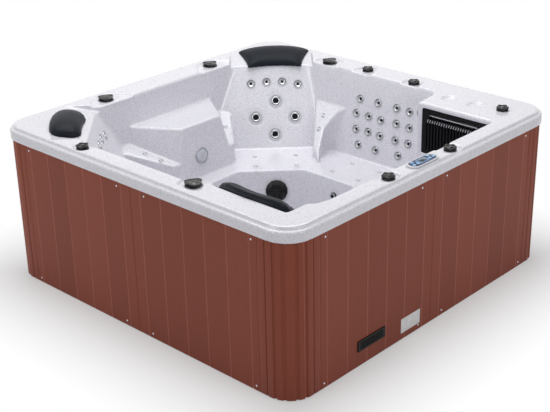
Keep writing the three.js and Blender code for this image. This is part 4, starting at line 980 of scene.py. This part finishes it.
def corner_post():
    """The post at the +X +Y corner: a fluted arc, its straight ends, then its height and thickness."""
    radius = sizes().post_radius
    centre = SKIRT_HALF - radius
    circle = bpy.ops.mesh.primitive_circle_add
    post = added(circle, "corner_post", vertices=4 * POST_STEPS, radius=radius)
    with editing(post):
        choose(post, lambda point: point.co.x < -MERGE or point.co.y < -MERGE)
        bpy.ops.mesh.delete(type="VERT")
        for flute in FLUTE_SHARES:
            angle = (flute + 0.5) * math.pi / 2
            cut_flute(post, Vector((math.cos(angle), math.sin(angle), 0.0)), radius)
        select_all()
        bpy.ops.transform.translate(value=(centre, centre, SKIRT_LOW.z))
        run_straight(post, lambda point: point.co.y < centre + MERGE, SOUTH, WEST, centre)
        run_straight(post, lambda point: point.co.x < centre + MERGE, WEST, SOUTH, centre)
        select_all()
        rise = (0.0, 0.0, SKIRT_HIGH.z - SKIRT_LOW.z)
        bpy.ops.mesh.extrude_region_move(TRANSFORM_OT_translate={"value": rise})
        select_all()
        bpy.ops.mesh.normals_make_consistent(inside=False)
    thickness = sizes().post_thickness
    apply_modifier(post, "SOLIDIFY", thickness=thickness, offset=-1.0, use_even_offset=True)
    close_up(post)
    bevelled(post, POST_EDGE, 2, 50.0)
    shade(post, 50.0)
    return post


def cut_flute(post, direction, radius):
    """Presses one rounded groove into the arc, deepest in its middle."""
    half = sizes().flute_width / 2
    crest = direction * radius
    depth = sizes().flute_depth
    for reach, depth_share in FLUTE_PRESSES:
        choose(post, lambda point: (point.co - crest).length < half * reach + depth)
        bpy.ops.transform.translate(value=direction * (-depth_share * depth))


def run_straight(post, at_end, way, inward, centre):
    """Extrudes one end of the arc to the post's edge, with a groove on the way."""
    half = sizes().flute_width / 2
    groove = (POST_START + centre) / 2 + 4 * half
    depth = sizes().flute_depth
    stops = ((groove + half, 0.0), (groove, depth), (groove - half, 0.0), (POST_START, 0.0))
    choose(post, at_end)
    at, sunk = centre, 0.0
    for stop, deep in stops:
        step = way * (at - stop) + inward * (deep - sunk)
        bpy.ops.mesh.extrude_vertices_move(TRANSFORM_OT_translate={"value": step})
        at, sunk = stop, deep


class HOTTUB_OT_knobs(bpy.types.Operator):
    """Turn the ten control knobs of the rim"""

    bl_idname = "hot_tub.knobs"
    bl_label = "Control knobs"

    def execute(self, context):
        gloss = plastic_finish("knob plastic", colours().black, 0.16, specular=0.5)
        masters = {lobes: knob(radius, lobes) for lobes, radius in KNOB_RADII.items()}
        for node in [name for name in frame["nodes"] if name.endswith(KNOB_ENDINGS)]:
            low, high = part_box(node)
            lobes = 3 if high.x - low.x > LARGE_KNOB else 5
            place = Matrix.Translation(plan_middle(low, high) + UP * (high.z - CAD_KNOB_HEIGHT))
            piece = copy_of(masters[lobes], f"{node}_cap", place)
            finish_piece(piece, gloss, node, [node])
        for master in masters.values():
            bpy.data.objects.remove(master)
        return {"FINISHED"}


KNOB_ENDINGS = ("_diverter", "_air_knob", "_air_valve")
KNOB_RADII = {3: 0.049, 5: 0.037}
LARGE_KNOB = 0.085
CAD_KNOB_HEIGHT = 0.029
KNOB_HEIGHT = 0.021
DISC_HEIGHT = 0.006
KNOB_STEM = 0.017
STEM_RADIUS = 0.008
DISC_ROWS = (
    (0, 0, -KNOB_STEM), (0, STEM_RADIUS, -KNOB_STEM), (0, STEM_RADIUS, 0), (0.86, 0, 0),
    (0.9, 0, 0.002), (0.88, 0, 0.0045), (0.8, 0, DISC_HEIGHT), (0, 0, DISC_HEIGHT),
)
GRIP_FOOT = 0.76
GRIP_TOP = 0.84
LOBE_SHARE = 0.13
# Each inset is a share of the knob's radius, and a rise.
GRIP_INSETS = ((0.09, 0.0), (0.08, -0.004), (0.2, 0.0006))
RIDGE_RISE = (0.0, 0.0, 0.003)
RIDGE_TAPER = (0.8, 0.8, 1.0)
GRIP_EDGE = 0.0012


def knob(radius, lobes):
    """A low disc under a lobed grip that widens upwards, with a dished top and a raised middle."""
    disc = outlined("disc", DISC_ROWS, radius)
    round_sides = {"vertices": 16 * lobes, "radius": 1.0, "depth": KNOB_HEIGHT - DISC_HEIGHT}
    grip = added(bpy.ops.mesh.primitive_cylinder_add, "grip", **round_sides)
    for point in grip.data.vertices:
        angle = math.atan2(point.co.y, point.co.x)
        share, level = (GRIP_FOOT, DISC_HEIGHT) if point.co.z < 0.0 else (GRIP_TOP, KNOB_HEIGHT)
        reach = radius * share * (1.0 + LOBE_SHARE * math.cos(lobes * angle))
        point.co = Vector((reach * math.cos(angle), reach * math.sin(angle), level))
    with editing(grip):
        choose(grip, lambda face: face.normal.z > FACING_UP, "FACE")
        for share, rise in GRIP_INSETS:
            bpy.ops.mesh.inset(thickness=radius * share, depth=rise)
        bpy.ops.mesh.extrude_region_move(TRANSFORM_OT_translate={"value": RIDGE_RISE})
        bpy.ops.transform.resize(value=RIDGE_TAPER)
    bevelled(grip, GRIP_EDGE, 3, 35.0)
    whole = joined(f"knob_{lobes}", disc, grip)
    shade(whole, 35.0)
    return whole


class HOTTUB_OT_jets(bpy.types.Operator):
    """Turn the faces of all the jets and their rotary nozzles"""

    bl_idname = "hot_tub.jets"
    bl_label = "Jets"

    def execute(self, context):
        grey = plastic_finish("jet plastic", colours().jet, 0.28)
        bright = metal_finish("jet ring metal", colours().metal)
        # Black cups in the jets' bores and under the nozzles' eyes: painted shade in the holes.
        dark = plastic_finish("jet bore plastic", colours().black, 0.35, specular=0.1)
        pipes = plastic_finish("jet pipe plastic", colours().paper, 0.4)
        for node in JET_NODES:
            dress_jets(node, grey, bright, dark, pipes)
        for number in range(1, NOZZLES + 1):
            add_nozzle(f"rotary_nozzle_{number}", bright, dark)
        return {"FINISHED"}


JET_NODES = ("back_corner_jets", "left_corner_jets", "right_wall_jets", "lounge_jets")
NOZZLES = 4
SMALL_CROWN = 0.024
LARGE_CROWN = 0.0336
NOZZLE_FACE = 0.0216
CROWN_TOLERANCE = 0.001
FACE_DEPTH = 0.0065
WALL_DEPTH = 0.003
# The radius of each bore, and of the lip round it.
SMALL_BORE = (0.0105, 0.0215)
LARGE_BORE = (0.029, 0.0345)
BORE_DEPTH = 0.0075
BORE_ROUND = 0.001
BORE_FLOOR = 0.9
BORE_TOP = 0.0055
LIP_TOP = 0.0035
FLANGE_HOLE = 0.74
FLANGE_EDGE = 0.0022
SMALL_RING_ROWS = (
    (0.34, 0, -FACE_DEPTH), (0.66, 0, -FACE_DEPTH), (0.66, 0, -0.001), (0.66, -0.0012, 0.0006),
    (0.5, 0.002, 0.0004), (0.5, -0.001, -0.0012), (0.34, 0.0008, -0.003), (0.34, 0, -0.0042),
    (0.34, 0, -FACE_DEPTH),
)
LARGE_FLANGE_ROWS = (
    (0.688, 0, -0.0035), (1, 0, -0.0035), (1, 0, -0.0012), (1, -0.002, 0),
    (0.8, 0.002, 0.0002), (0.8, 0, -0.0012), (0.736, 0, -0.0014), (0.704, 0, -0.0022),
    (0.688, 0, -0.0035),
)
COLLAR_ROWS = (
    (0.62, 0, -0.011), (0.7, 0, -0.011), (1, 0, -0.006), (1, 0, -0.003),
    (1, -0.002, -0.0008), (0.84, 0, 0), (0.74, 0, -0.001), (0.62, 0.0006, -0.003),
    (0.62, 0, -0.005), (0.62, 0, -0.011),
)
CUP_ROWS = ((0, 0, -0.009), (0.62, 0, -0.009), (0.62, 0, -0.0105), (0, 0, -0.0105))
EYE_RADIUS = 0.558
EYE_DEPTH = 0.004
EYE_AT = (0.0, 0.0, -0.0072)
EYE_INSET = 0.124
EYE_SINK = 0.0015
EYE_EDGE = 0.0009


def crowned(faces, radius, tolerance=CROWN_TOLERANCE):
    """Those of the round faces that have this radius."""
    return [face for face in faces if abs(face[2] - radius) < tolerance]


def dress_jets(node, grey, bright, dark, pipes):
    """Finishes one set of jets: its barrels cut back, then its flanges, rings and bores."""
    faces = round_faces(node)
    small = crowned(faces, SMALL_CROWN)
    large = crowned(faces, LARGE_CROWN)
    barrels = cad_copy(node, f"{node}_barrels")
    crown, normal, _ = max(small + large, key=lambda face: face[0].dot(face[1]))
    cut_off(barrels, crown - normal * FACE_DEPTH, normal)
    finish_piece(barrels, pipes, hides=[node])
    places = [facing(middle, way) for middle, way, _ in small]
    wide = [facing(middle, way) for middle, way, _ in large]
    outer = sizes().small_flange
    flange = ring("flange", outer * FLANGE_HOLE, outer, -WALL_DEPTH, 0.0, FLANGE_EDGE)
    flanges = [repeated(flange, f"{node}_small", places)]
    bores = [repeated(jet_bore(*SMALL_BORE), f"{node}_narrow", places)]
    if wide:
        flange = outlined("flange", LARGE_FLANGE_ROWS, sizes().large_flange, 44)
        flanges.append(repeated(flange, f"{node}_large", wide))
        bores.append(repeated(jet_bore(*LARGE_BORE), f"{node}_wide", wide))
    finish_piece(joined(f"{node}_flanges", *flanges), grey, hides=[node])
    rings = repeated(outlined("ring", SMALL_RING_ROWS, outer, 32), f"{node}_rings", places)
    finish_piece(rings, bright, hides=[node])
    # The bores are black cups: painted shade in the holes and in the gap round each ring.
    finish_piece(joined(f"{node}_bores", *bores), dark, hides=[node])


def jet_bore(inner, outer):
    """A black cup with a broad lip: painted shade in the bore, and in the shadow gap round the ring."""
    back = BORE_DEPTH + BORE_ROUND
    profile = [(0.0, -BORE_DEPTH), (inner * BORE_FLOOR, -BORE_DEPTH), (inner, BORE_ROUND - BORE_DEPTH)]
    profile += [(inner, -BORE_TOP), (outer, -LIP_TOP), (outer + BORE_ROUND, -LIP_TOP - BORE_ROUND)]
    return turned("bore", [*profile, (outer, -back), (0.0, -back)], 32)


def add_nozzle(node, bright, dark):
    """A rotary nozzle: its bright ring and its black four-sided eye."""
    middle, way, _ = crowned(round_faces(node), NOZZLE_FACE)[0]
    place = facing(middle, way)
    radius = sizes().nozzle_radius
    collar = outlined(f"{node}_collar", COLLAR_ROWS, radius)
    finish_piece(collar, bright, node, [node], place, 50.0)
    # The cup closes the nozzle's opening in black: painted shade in the hole under the eye.
    cup = outlined("cup", CUP_ROWS, radius, 32)
    square = {"vertices": 4, "radius": radius * EYE_RADIUS, "depth": EYE_DEPTH, "location": EYE_AT}
    eye = added(bpy.ops.mesh.primitive_cylinder_add, "eye", **square)
    with editing(eye):
        choose(eye, lambda side: side.normal.z > FACING_UP, "FACE")
        bpy.ops.mesh.inset(thickness=radius * EYE_INSET, depth=-EYE_SINK)
    bpy.ops.object.transform_apply(location=True, rotation=True, scale=True)
    bevelled(eye, EYE_EDGE, 2)
    core = joined(f"{node}_core", cup, eye)
    finish_piece(core, dark, node, [node], place, 40.0)


class HOTTUB_OT_seat_fittings(bpy.types.Operator):
    """Add the seats' air injectors, the armrests' air outlets, the light and the suction fittings"""

    bl_idname = "hot_tub.seat_fittings"
    bl_label = "Seat fittings"

    def execute(self, context):
        # The slots are dark grey blocks: painted shade in the openings of the caps.
        dark = plastic_finish("slot plastic", SLOT_SHADE_GREY, 0.4)
        pale = plastic_finish("injector plastic", INJECTOR_GREY, 0.25)
        add_injectors(pale, dark)
        add_armrest_outlets(pale, dark)
        add_light()
        add_suction_fittings()
        return {"FINISHED"}


SLOT_SHADE_GREY = (0.09, 0.09, 0.1)
INJECTOR_GREY = (0.66, 0.66, 0.7)
INJECTOR_CROWN = 0.0112
INJECTOR_TOLERANCE = 0.0004
INJECTOR_RISE = 0.003
INJECTOR_RADIUS = 0.014
OUTLET_RADIUS = 0.017
ARMREST_OUTLETS = (
    (-0.3161, 0.739),
    (-0.2761, 0.6507),
    (0.3031, 0.7178),
    (0.7524, 0.3255),
    (0.6824, 0.3),
)
CAP_ROWS = (
    (0, 0, -0.002), (1, 0, -0.002), (1, 0, 0.0012), (1, -0.0015, 0.0025), (0.78, 0, 0.003),
    (0.74, 0, 0.0022), (0.5, 0, 0.0022), (0.46, 0, 0.003), (0, 0, 0.0034),
)
SLOT_TURNS = (-125.0, -90.0, -55.0, 55.0, 90.0, 125.0)
SLOT_REACH = 0.62
SLOT_LEVEL = 0.0022
SLOT_WIDTH = 0.2
SLOT_LENGTH = 0.42
SLOT_HEIGHT = 0.0006
SLOT_EDGE = 0.0001
SEAT_GAP = 0.0004


def cap_slots(radius):
    """Six short dark slots, three on each side, that lie in the cap's sunk ring: painted shade in the
    slots' openings.
    """
    size = (radius * SLOT_WIDTH, radius * SLOT_LENGTH, SLOT_HEIGHT)
    outwards = Matrix.Translation((radius * SLOT_REACH, 0.0, SLOT_LEVEL))
    places = [Matrix.Rotation(math.radians(turn), 4, "Z") @ outwards for turn in SLOT_TURNS]
    return joined("slots", *[block("slot", size, SLOT_EDGE, place) for place in places])


def add_caps(name, radius, places, pale, dark, hides=()):
    """Low round caps at these places, as one piece, and their slots, dark blocks of painted shade, as
    another.
    """
    caps = repeated(outlined("cap", CAP_ROWS, radius, 28), f"{name}_caps", places)
    finish_piece(caps, pale, hides=hides, smooth=40.0)
    slots = repeated(cap_slots(radius), f"{name}_slots", places)
    finish_piece(slots, dark, hides=hides)


def add_injectors(pale, dark):
    """The seats' air injectors: their runs cut off at the seat, and a cap on each."""
    crowns = crowned(round_faces("air_injectors"), INJECTOR_CROWN, INJECTOR_TOLERANCE)
    runs = cad_copy("air_injectors", "air_injector_runs")
    cut_off(runs, crowns[0][0] - UP * (INJECTOR_RISE + SEAT_GAP), UP)
    finish_piece(runs, pale, hides=["air_injectors"])
    places = [Matrix.Translation(middle - UP * INJECTOR_RISE) for middle, _, _ in crowns]
    add_caps("air_injector", INJECTOR_RADIUS, places, pale, dark, ["air_injectors"])


def add_armrest_outlets(pale, dark):
    """The air outlets that lie on the armrests' sloping tops."""
    places = [facing(*on_shell(x, y), -WEST) for x, y in ARMREST_OUTLETS]
    add_caps("armrest_outlet", OUTLET_RADIUS, places, pale, dark)


LIGHT_AT = Vector((-0.0325, 0.569, 0.5113))
LIGHT_WAY = Vector((0.0, -0.99, 0.14))
LIGHT_RADIUS = 0.0468
LENS_RADIUS = 0.0375
LENS_GAP = 0.0012
LENS_ROWS = (
    (0, 0, -0.001), (1, 0, -0.001), (1, 0, 0.0006), (0.9, 0, 0.0022), (0.5, 0, 0.004),
    (0, 0, 0.0046),
)


def add_light():
    """The underwater light: a rounded ring and a milky lens before the CAD body."""
    dress_node("tub_light", plastic_finish("light body plastic", colours().jet, 0.3))
    place = facing(LIGHT_AT, LIGHT_WAY)
    hole = LENS_RADIUS + LENS_GAP
    outer = ring("light_ring", hole, LIGHT_RADIUS, low=-0.002, high=0.0026, edge=0.0018)
    bright = metal_finish("light ring metal", colours().metal, 0.25)
    finish_piece(outer, bright, place=place, smooth=40.0)
    lens = outlined("light_lens", LENS_ROWS, LENS_RADIUS)
    milky = plastic_finish("lens plastic", colours().lens, 0.15)
    finish_piece(lens, milky, place=place, smooth=50.0)


COVER_RIBS = 16
RIM_INNER = 0.97
RIM_OUTER = 1.06
RIB_REACH = 0.62
RIB_LENGTH = 0.55
RIB_WIDTH = 0.0028
RIB_HEIGHT = 0.003
RIB_EDGE = 0.0008
RIB_LEVEL = 0.0008


def add_suction_fittings():
    """Ribs, a rim and a screw on the footwell's suction cover, and rings on the two small fittings."""
    black = plastic_finish("suction plastic", colours().black, 0.22)
    dress_node("suction_fittings", black)
    found = round_faces("suction_fittings")
    middle, way, reach = max(found, key=lambda face: face[2])
    ribs = []
    for index in range(COVER_RIBS):
        turn = Matrix.Rotation(2 * math.pi * index / COVER_RIBS, 4, "Z")
        at = Matrix.Translation((reach * RIB_REACH, 0.0, RIB_LEVEL))
        size = (reach * RIB_LENGTH, RIB_WIDTH, RIB_HEIGHT)
        ribs.append(block("rib", size, RIB_EDGE, turn @ at))
    rim = ring("rim", reach * RIM_INNER, reach * RIM_OUTER, low=-0.004, high=0.0022, edge=0.0018)
    crown = joined("suction_cover_crown", rim, screw_head(), *ribs)
    finish_piece(crown, black, place=facing(middle, way), smooth=35.0)
    bright = metal_finish("fitting ring metal", colours().metal, 0.2)
    small = [facing(face[0], face[1]) for face in found if face[2] < reach / 2]
    collar = ring("collar", inner=0.0112, outer=0.0165, low=-0.003, high=0.0012, edge=0.0012, sides=28)
    finish_piece(repeated(collar, "fitting_collars", small), bright, smooth=40.0)


class HOTTUB_OT_control_panel(bpy.types.Operator):
    """Shape the control panel: bezel, overlay, display and buttons"""

    bl_idname = "hot_tub.control_panel"
    bl_label = "Control panel"

    def execute(self, context):
        add_layers()
        film = plastic_finish("button film", colours().button, 0.3)
        for number in range(1, BUTTONS + 1):
            node = f"control_button_{number}"
            low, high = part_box(node)
            radius = sizes().button_radius
            cap = outlined(f"{node}_cap", BUTTON_ROWS, radius, 28, tall=high.z - low.z)
            place = Matrix.Translation(plan_middle(low, high) + UP * low.z)
            finish_piece(cap, film, node, [node], place, 50.0)
        return {"FINISHED"}


BUTTONS = 6
BEZEL_DROP = 0.0012
BEZEL_EDGE = 0.003
SHEET_DROP = 0.0008
SHEET_EDGE = 0.0006
WAIST_SIZE = (0.076, 0.044, 0.001)
WAIST_EDGE = 0.0004
DISPLAY_SIZE = (0.044, 0.026, 0.002)
DISPLAY_DROP = 0.0011
# The heights here are shares of the button's height.
BUTTON_ROWS = (
    (0, 0, 0), (0.75, 0, 0), (0.75, 0, 0.5), (1, 0, 0.55), (1, 0, 0.9),
    (0.93, 0, 0.99), (0.8, 0, 1), (0.5, 0, 0.94), (0, 0, 0.92),
)


def add_layers():
    """The panel's plates: the bezel, its overlay, and the overlay's waist and display window."""
    bezel = plastic_finish("bezel plastic", colours().bezel, 0.25)
    place_plate("control_bezel", "control_bezel_plate", BEZEL_DROP, BEZEL_EDGE, bezel)
    navy = plastic_finish("overlay film", colours().overlay, 0.2)
    place_plate("control_overlay", "overlay_sheet", SHEET_DROP, SHEET_EDGE, navy)
    low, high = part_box("control_overlay")
    blue = plastic_finish("waist film", colours().overlay_waist, 0.2)
    glass = plastic_finish("display glass", colours().display, 0.12, specular=0.15)
    for name, size, drop, edge, film in (
        ("overlay_waist_sheet", WAIST_SIZE, SHEET_DROP, WAIST_EDGE, blue),
        ("display_window", DISPLAY_SIZE, DISPLAY_DROP, SHEET_EDGE, glass),
    ):
        place = Matrix.Translation(plan_middle(low, high) + UP * (high.z - drop))
        finish_piece(block(name, size, edge, place), film, hides=["control_overlay"])


def place_plate(node, name, drop, edge, material):
    """A plate with round ends that stands for a node, its top a little lower."""
    low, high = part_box(node)
    plate = stadium(name, high.x - low.x, high.y - low.y, low.z, high.z - drop, edge)
    place = Matrix.Translation(plan_middle(low, high))
    finish_piece(plate, material, hides=[node], place=place)


def stadium(name, across, wide, low, high, edge):
    """A plate with round ends and softened upper edges."""
    cylinder = bpy.ops.mesh.primitive_cylinder_add
    plate = added(cylinder, name, vertices=48, radius=wide / 2, depth=high - low)
    reach = (across - wide) / 2
    with editing(plate):
        bpy.ops.transform.translate(value=(0.0, 0.0, (high + low) / 2))
        choose(plate, lambda point: point.co.x > MERGE)
        bpy.ops.transform.translate(value=(reach, 0.0, 0.0))
        choose(plate, lambda point: point.co.x < -MERGE)
        bpy.ops.transform.translate(value=(-reach, 0.0, 0.0))
    bevelled(plate, edge, 3, 50.0)
    shade(plate, 35.0)
    return plate


class HOTTUB_OT_filter(bpy.types.Operator):
    """Finish the filter opening: grille, trim line, painted highlights on the grille's ribs, weir flap
    and cartridge
    """

    bl_idname = "hot_tub.filter"
    bl_label = "Filter opening"

    def execute(self, context):
        dress_node("filter_grille", plastic_finish("grille plastic", colours().black, 0.3, specular=0.12))
        dress_node("weir_flap", plastic_finish("weir plastic", WEIR_GREY, 0.35))
        dress_node("filter_cartridge", paper_finish())
        bright = plastic_finish("grille trim plastic", TRIM_AND_HIGHLIGHT_GREY, 0.25)
        low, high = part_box("filter_grille")
        size = (TRIM_DEPTH, (high.y - low.y) - 2 * GRILLE_BORDER + TRIM_OVERLAP, TRIM_HEIGHT)
        middle = Matrix.Translation((low.x + TRIM_INSET, (low.y + high.y) / 2, TRIM_LEVEL))
        line = block("grille_trim_line", size, TRIM_EDGE, middle)
        finish_piece(line, bright, "filter_grille")
        # Pale slanted blocks on the grille's face: painted highlights on the tops of its ribs.
        slots = []
        slant = Matrix.Rotation(math.radians(GRILLE_HIGHLIGHT_SLANT), 4, "X")
        for index in range(GRILLE_HIGHLIGHT_COUNT):
            along = GRILLE_HIGHLIGHT_START + (GRILLE_HIGHLIGHT_END - GRILLE_HIGHLIGHT_START) * index / (GRILLE_HIGHLIGHT_COUNT - 1)
            place = Matrix.Translation((low.x - GRILLE_HIGHLIGHT_PROUD, along, GRILLE_HIGHLIGHT_LEVEL)) @ slant
            slots.append(block("trim_slot", GRILLE_HIGHLIGHT_SIZE, GRILLE_HIGHLIGHT_EDGE, place))
        finish_piece(joined("grille_trim_slots", *slots), bright, "filter_grille")
        return {"FINISHED"}


WEIR_GREY = (0.03, 0.03, 0.033)
# Pale grey of the trim line, and of the painted highlights on the grille's ribs.
TRIM_AND_HIGHLIGHT_GREY = (0.62, 0.62, 0.65)
GRILLE_BORDER = 0.024
TRIM_INSET = 0.004
TRIM_DEPTH = 0.003
TRIM_HEIGHT = 0.0045
TRIM_LEVEL = 0.8125
# The slanted pale blocks across the grille are painted highlights on its ribs.
GRILLE_HIGHLIGHT_LEVEL = 0.78
GRILLE_HIGHLIGHT_SIZE = (0.0016, 0.0032, 0.018)
GRILLE_HIGHLIGHT_PROUD = 0.0002
TRIM_OVERLAP = 0.002
TRIM_EDGE = 0.0008
GRILLE_HIGHLIGHT_EDGE = 0.0006
GRILLE_HIGHLIGHT_START = -0.82
GRILLE_HIGHLIGHT_END = -0.509
GRILLE_HIGHLIGHT_SLANT = 18.0
GRILLE_HIGHLIGHT_COUNT = 21


class HOTTUB_OT_skirt(bpy.types.Operator):
    """Finish the board panels, the vent, the blank plate and the screws of the skirt"""

    bl_idname = "hot_tub.skirt"
    bl_label = "Skirt"

    def execute(self, context):
        for turn, side in enumerate(SIDES):
            boards = board_finish(f"{side} boards", turn % 2)
            for half in (1, 2):
                dress_node(f"{side}_panel_{half}", boards)
        dress_node("skirt_vent", plastic_finish("vent plastic", colours().black, 0.35, specular=0.15))
        add_screws()
        add_plate()
        return {"FINISHED"}


# Each row is a level, and the places along the side.
SCREW_ROWS = ((0.782, (-0.81, -0.1, 0.1, 0.81)), (0.03, (-0.82, -0.1, 0.1, 0.82)))


def add_screws():
    """Small bright screw heads along the top and the foot of each side."""
    places = []
    for turn in range(4):
        spin = Matrix.Rotation(turn * math.pi / 2, 4, "Z")
        for level, row in SCREW_ROWS:
            places += [spin @ facing(Vector((along, -SKIRT_HALF, level)), SOUTH) for along in row]
    screws = repeated(screw_head(), "skirt_screws", places)
    finish_piece(screws, metal_finish("screw steel", colours().metal, 0.25))


SCREW_HEAD_ROWS = (
    (0, 0, -0.001), (1, 0, -0.001), (1, 0, 0.0006), (0.8, 0, 0.0018), (0.35, 0, 0.0022),
    (0.25, 0, 0.001), (0, 0, 0.001),
)


def screw_head():
    """A domed screw head with a sunk middle."""
    head = outlined("screw", SCREW_HEAD_ROWS, sizes().screw_radius, 20)
    shade(head, 50.0)
    return head


PLATE_MIDDLE = -0.165
PLATE_LEVEL = 0.08
PLATE_SIZE = (0.154, 0.0016, 0.08)
PLATE_PROUD = 0.0006
PLATE_EDGE = 0.0005


def add_plate():
    """A bare plate low on the front."""
    place = Matrix.Translation((PLATE_MIDDLE, -SKIRT_HALF - PLATE_PROUD, PLATE_LEVEL))
    plate = block("blank_plate", PLATE_SIZE, PLATE_EDGE, place)
    finish_piece(plate, plastic_finish("plate film", colours().plate, 0.4))


class HOTTUB_OT_inner_parts(bpy.types.Operator):
    """Give the parts behind the skirt their finishes"""

    bl_idname = "hot_tub.inner_parts"
    bl_label = "Inner parts"

    def execute(self, context):
        timber = timber_finish()
        for side in SIDES:
            dress_node(f"{side}_frame", timber)
        for node, (name, tint, roughness) in INNER_PLASTICS.items():
            dress_node(node, plastic_finish(name, tint, roughness))
        dress_node("drain_valve", plastic_finish("drain plastic", colours().paper, 0.35))
        dress_node("pump_rotor", metal_finish("rotor metal", colours().steel, 0.3))
        dress_node("spa_pack", metal_finish("pack steel", colours().steel, 0.35))
        return {"FINISHED"}


INNER_PLASTICS = {
    "base_pan": ("base pan plastic", (0.03, 0.03, 0.032), 0.5),
    "pump_body": ("pump plastic", (0.05, 0.05, 0.055), 0.35),
    "air_blower": ("blower plastic", (0.07, 0.07, 0.075), 0.4),
    "drain_handle": ("handle plastic", (0.35, 0.02, 0.015), 0.3),
}


OPERATORS = (
    HOTTUB_OT_stage,
    HOTTUB_OT_shell,
    HOTTUB_OT_pillows,
    HOTTUB_OT_posts,
    HOTTUB_OT_knobs,
    HOTTUB_OT_jets,
    HOTTUB_OT_seat_fittings,
    HOTTUB_OT_control_panel,
    HOTTUB_OT_filter,
    HOTTUB_OT_skirt,
    HOTTUB_OT_inner_parts,
)


class HOTTUB_PT_panel(bpy.types.Panel):
    """Lists the hot tub's operators, sizes and colours"""

    bl_idname = "HOTTUB_PT_panel"
    bl_label = "Hot Tub"
    bl_space_type = "VIEW_3D"
    bl_region_type = "UI"
    bl_category = "Hot Tub"

    def draw(self, context):
        for operator in OPERATORS:
            self.layout.operator(operator.bl_idname)
        for group in (context.scene.hot_tub_sizes, context.scene.hot_tub_colours):
            for entry in group.bl_rna.properties:
                if entry.is_runtime:
                    self.layout.prop(group, entry.identifier)


CLASSES = (HotTubSizes, HotTubColours, *OPERATORS, HOTTUB_PT_panel)


def register():
    for entry in CLASSES:
        bpy.utils.register_class(entry)
    bpy.types.Scene.hot_tub_sizes = PointerProperty(type=HotTubSizes)
    bpy.types.Scene.hot_tub_colours = PointerProperty(type=HotTubColours)


def unregister():
    del bpy.types.Scene.hot_tub_colours
    del bpy.types.Scene.hot_tub_sizes
    for entry in reversed(CLASSES):
        bpy.utils.unregister_class(entry)


def main():
    register()
    for operator in OPERATORS:
        group, name = operator.bl_idname.split(".")
        getattr(getattr(bpy.ops, group), name)()


if __name__ == "__main__":
    main()
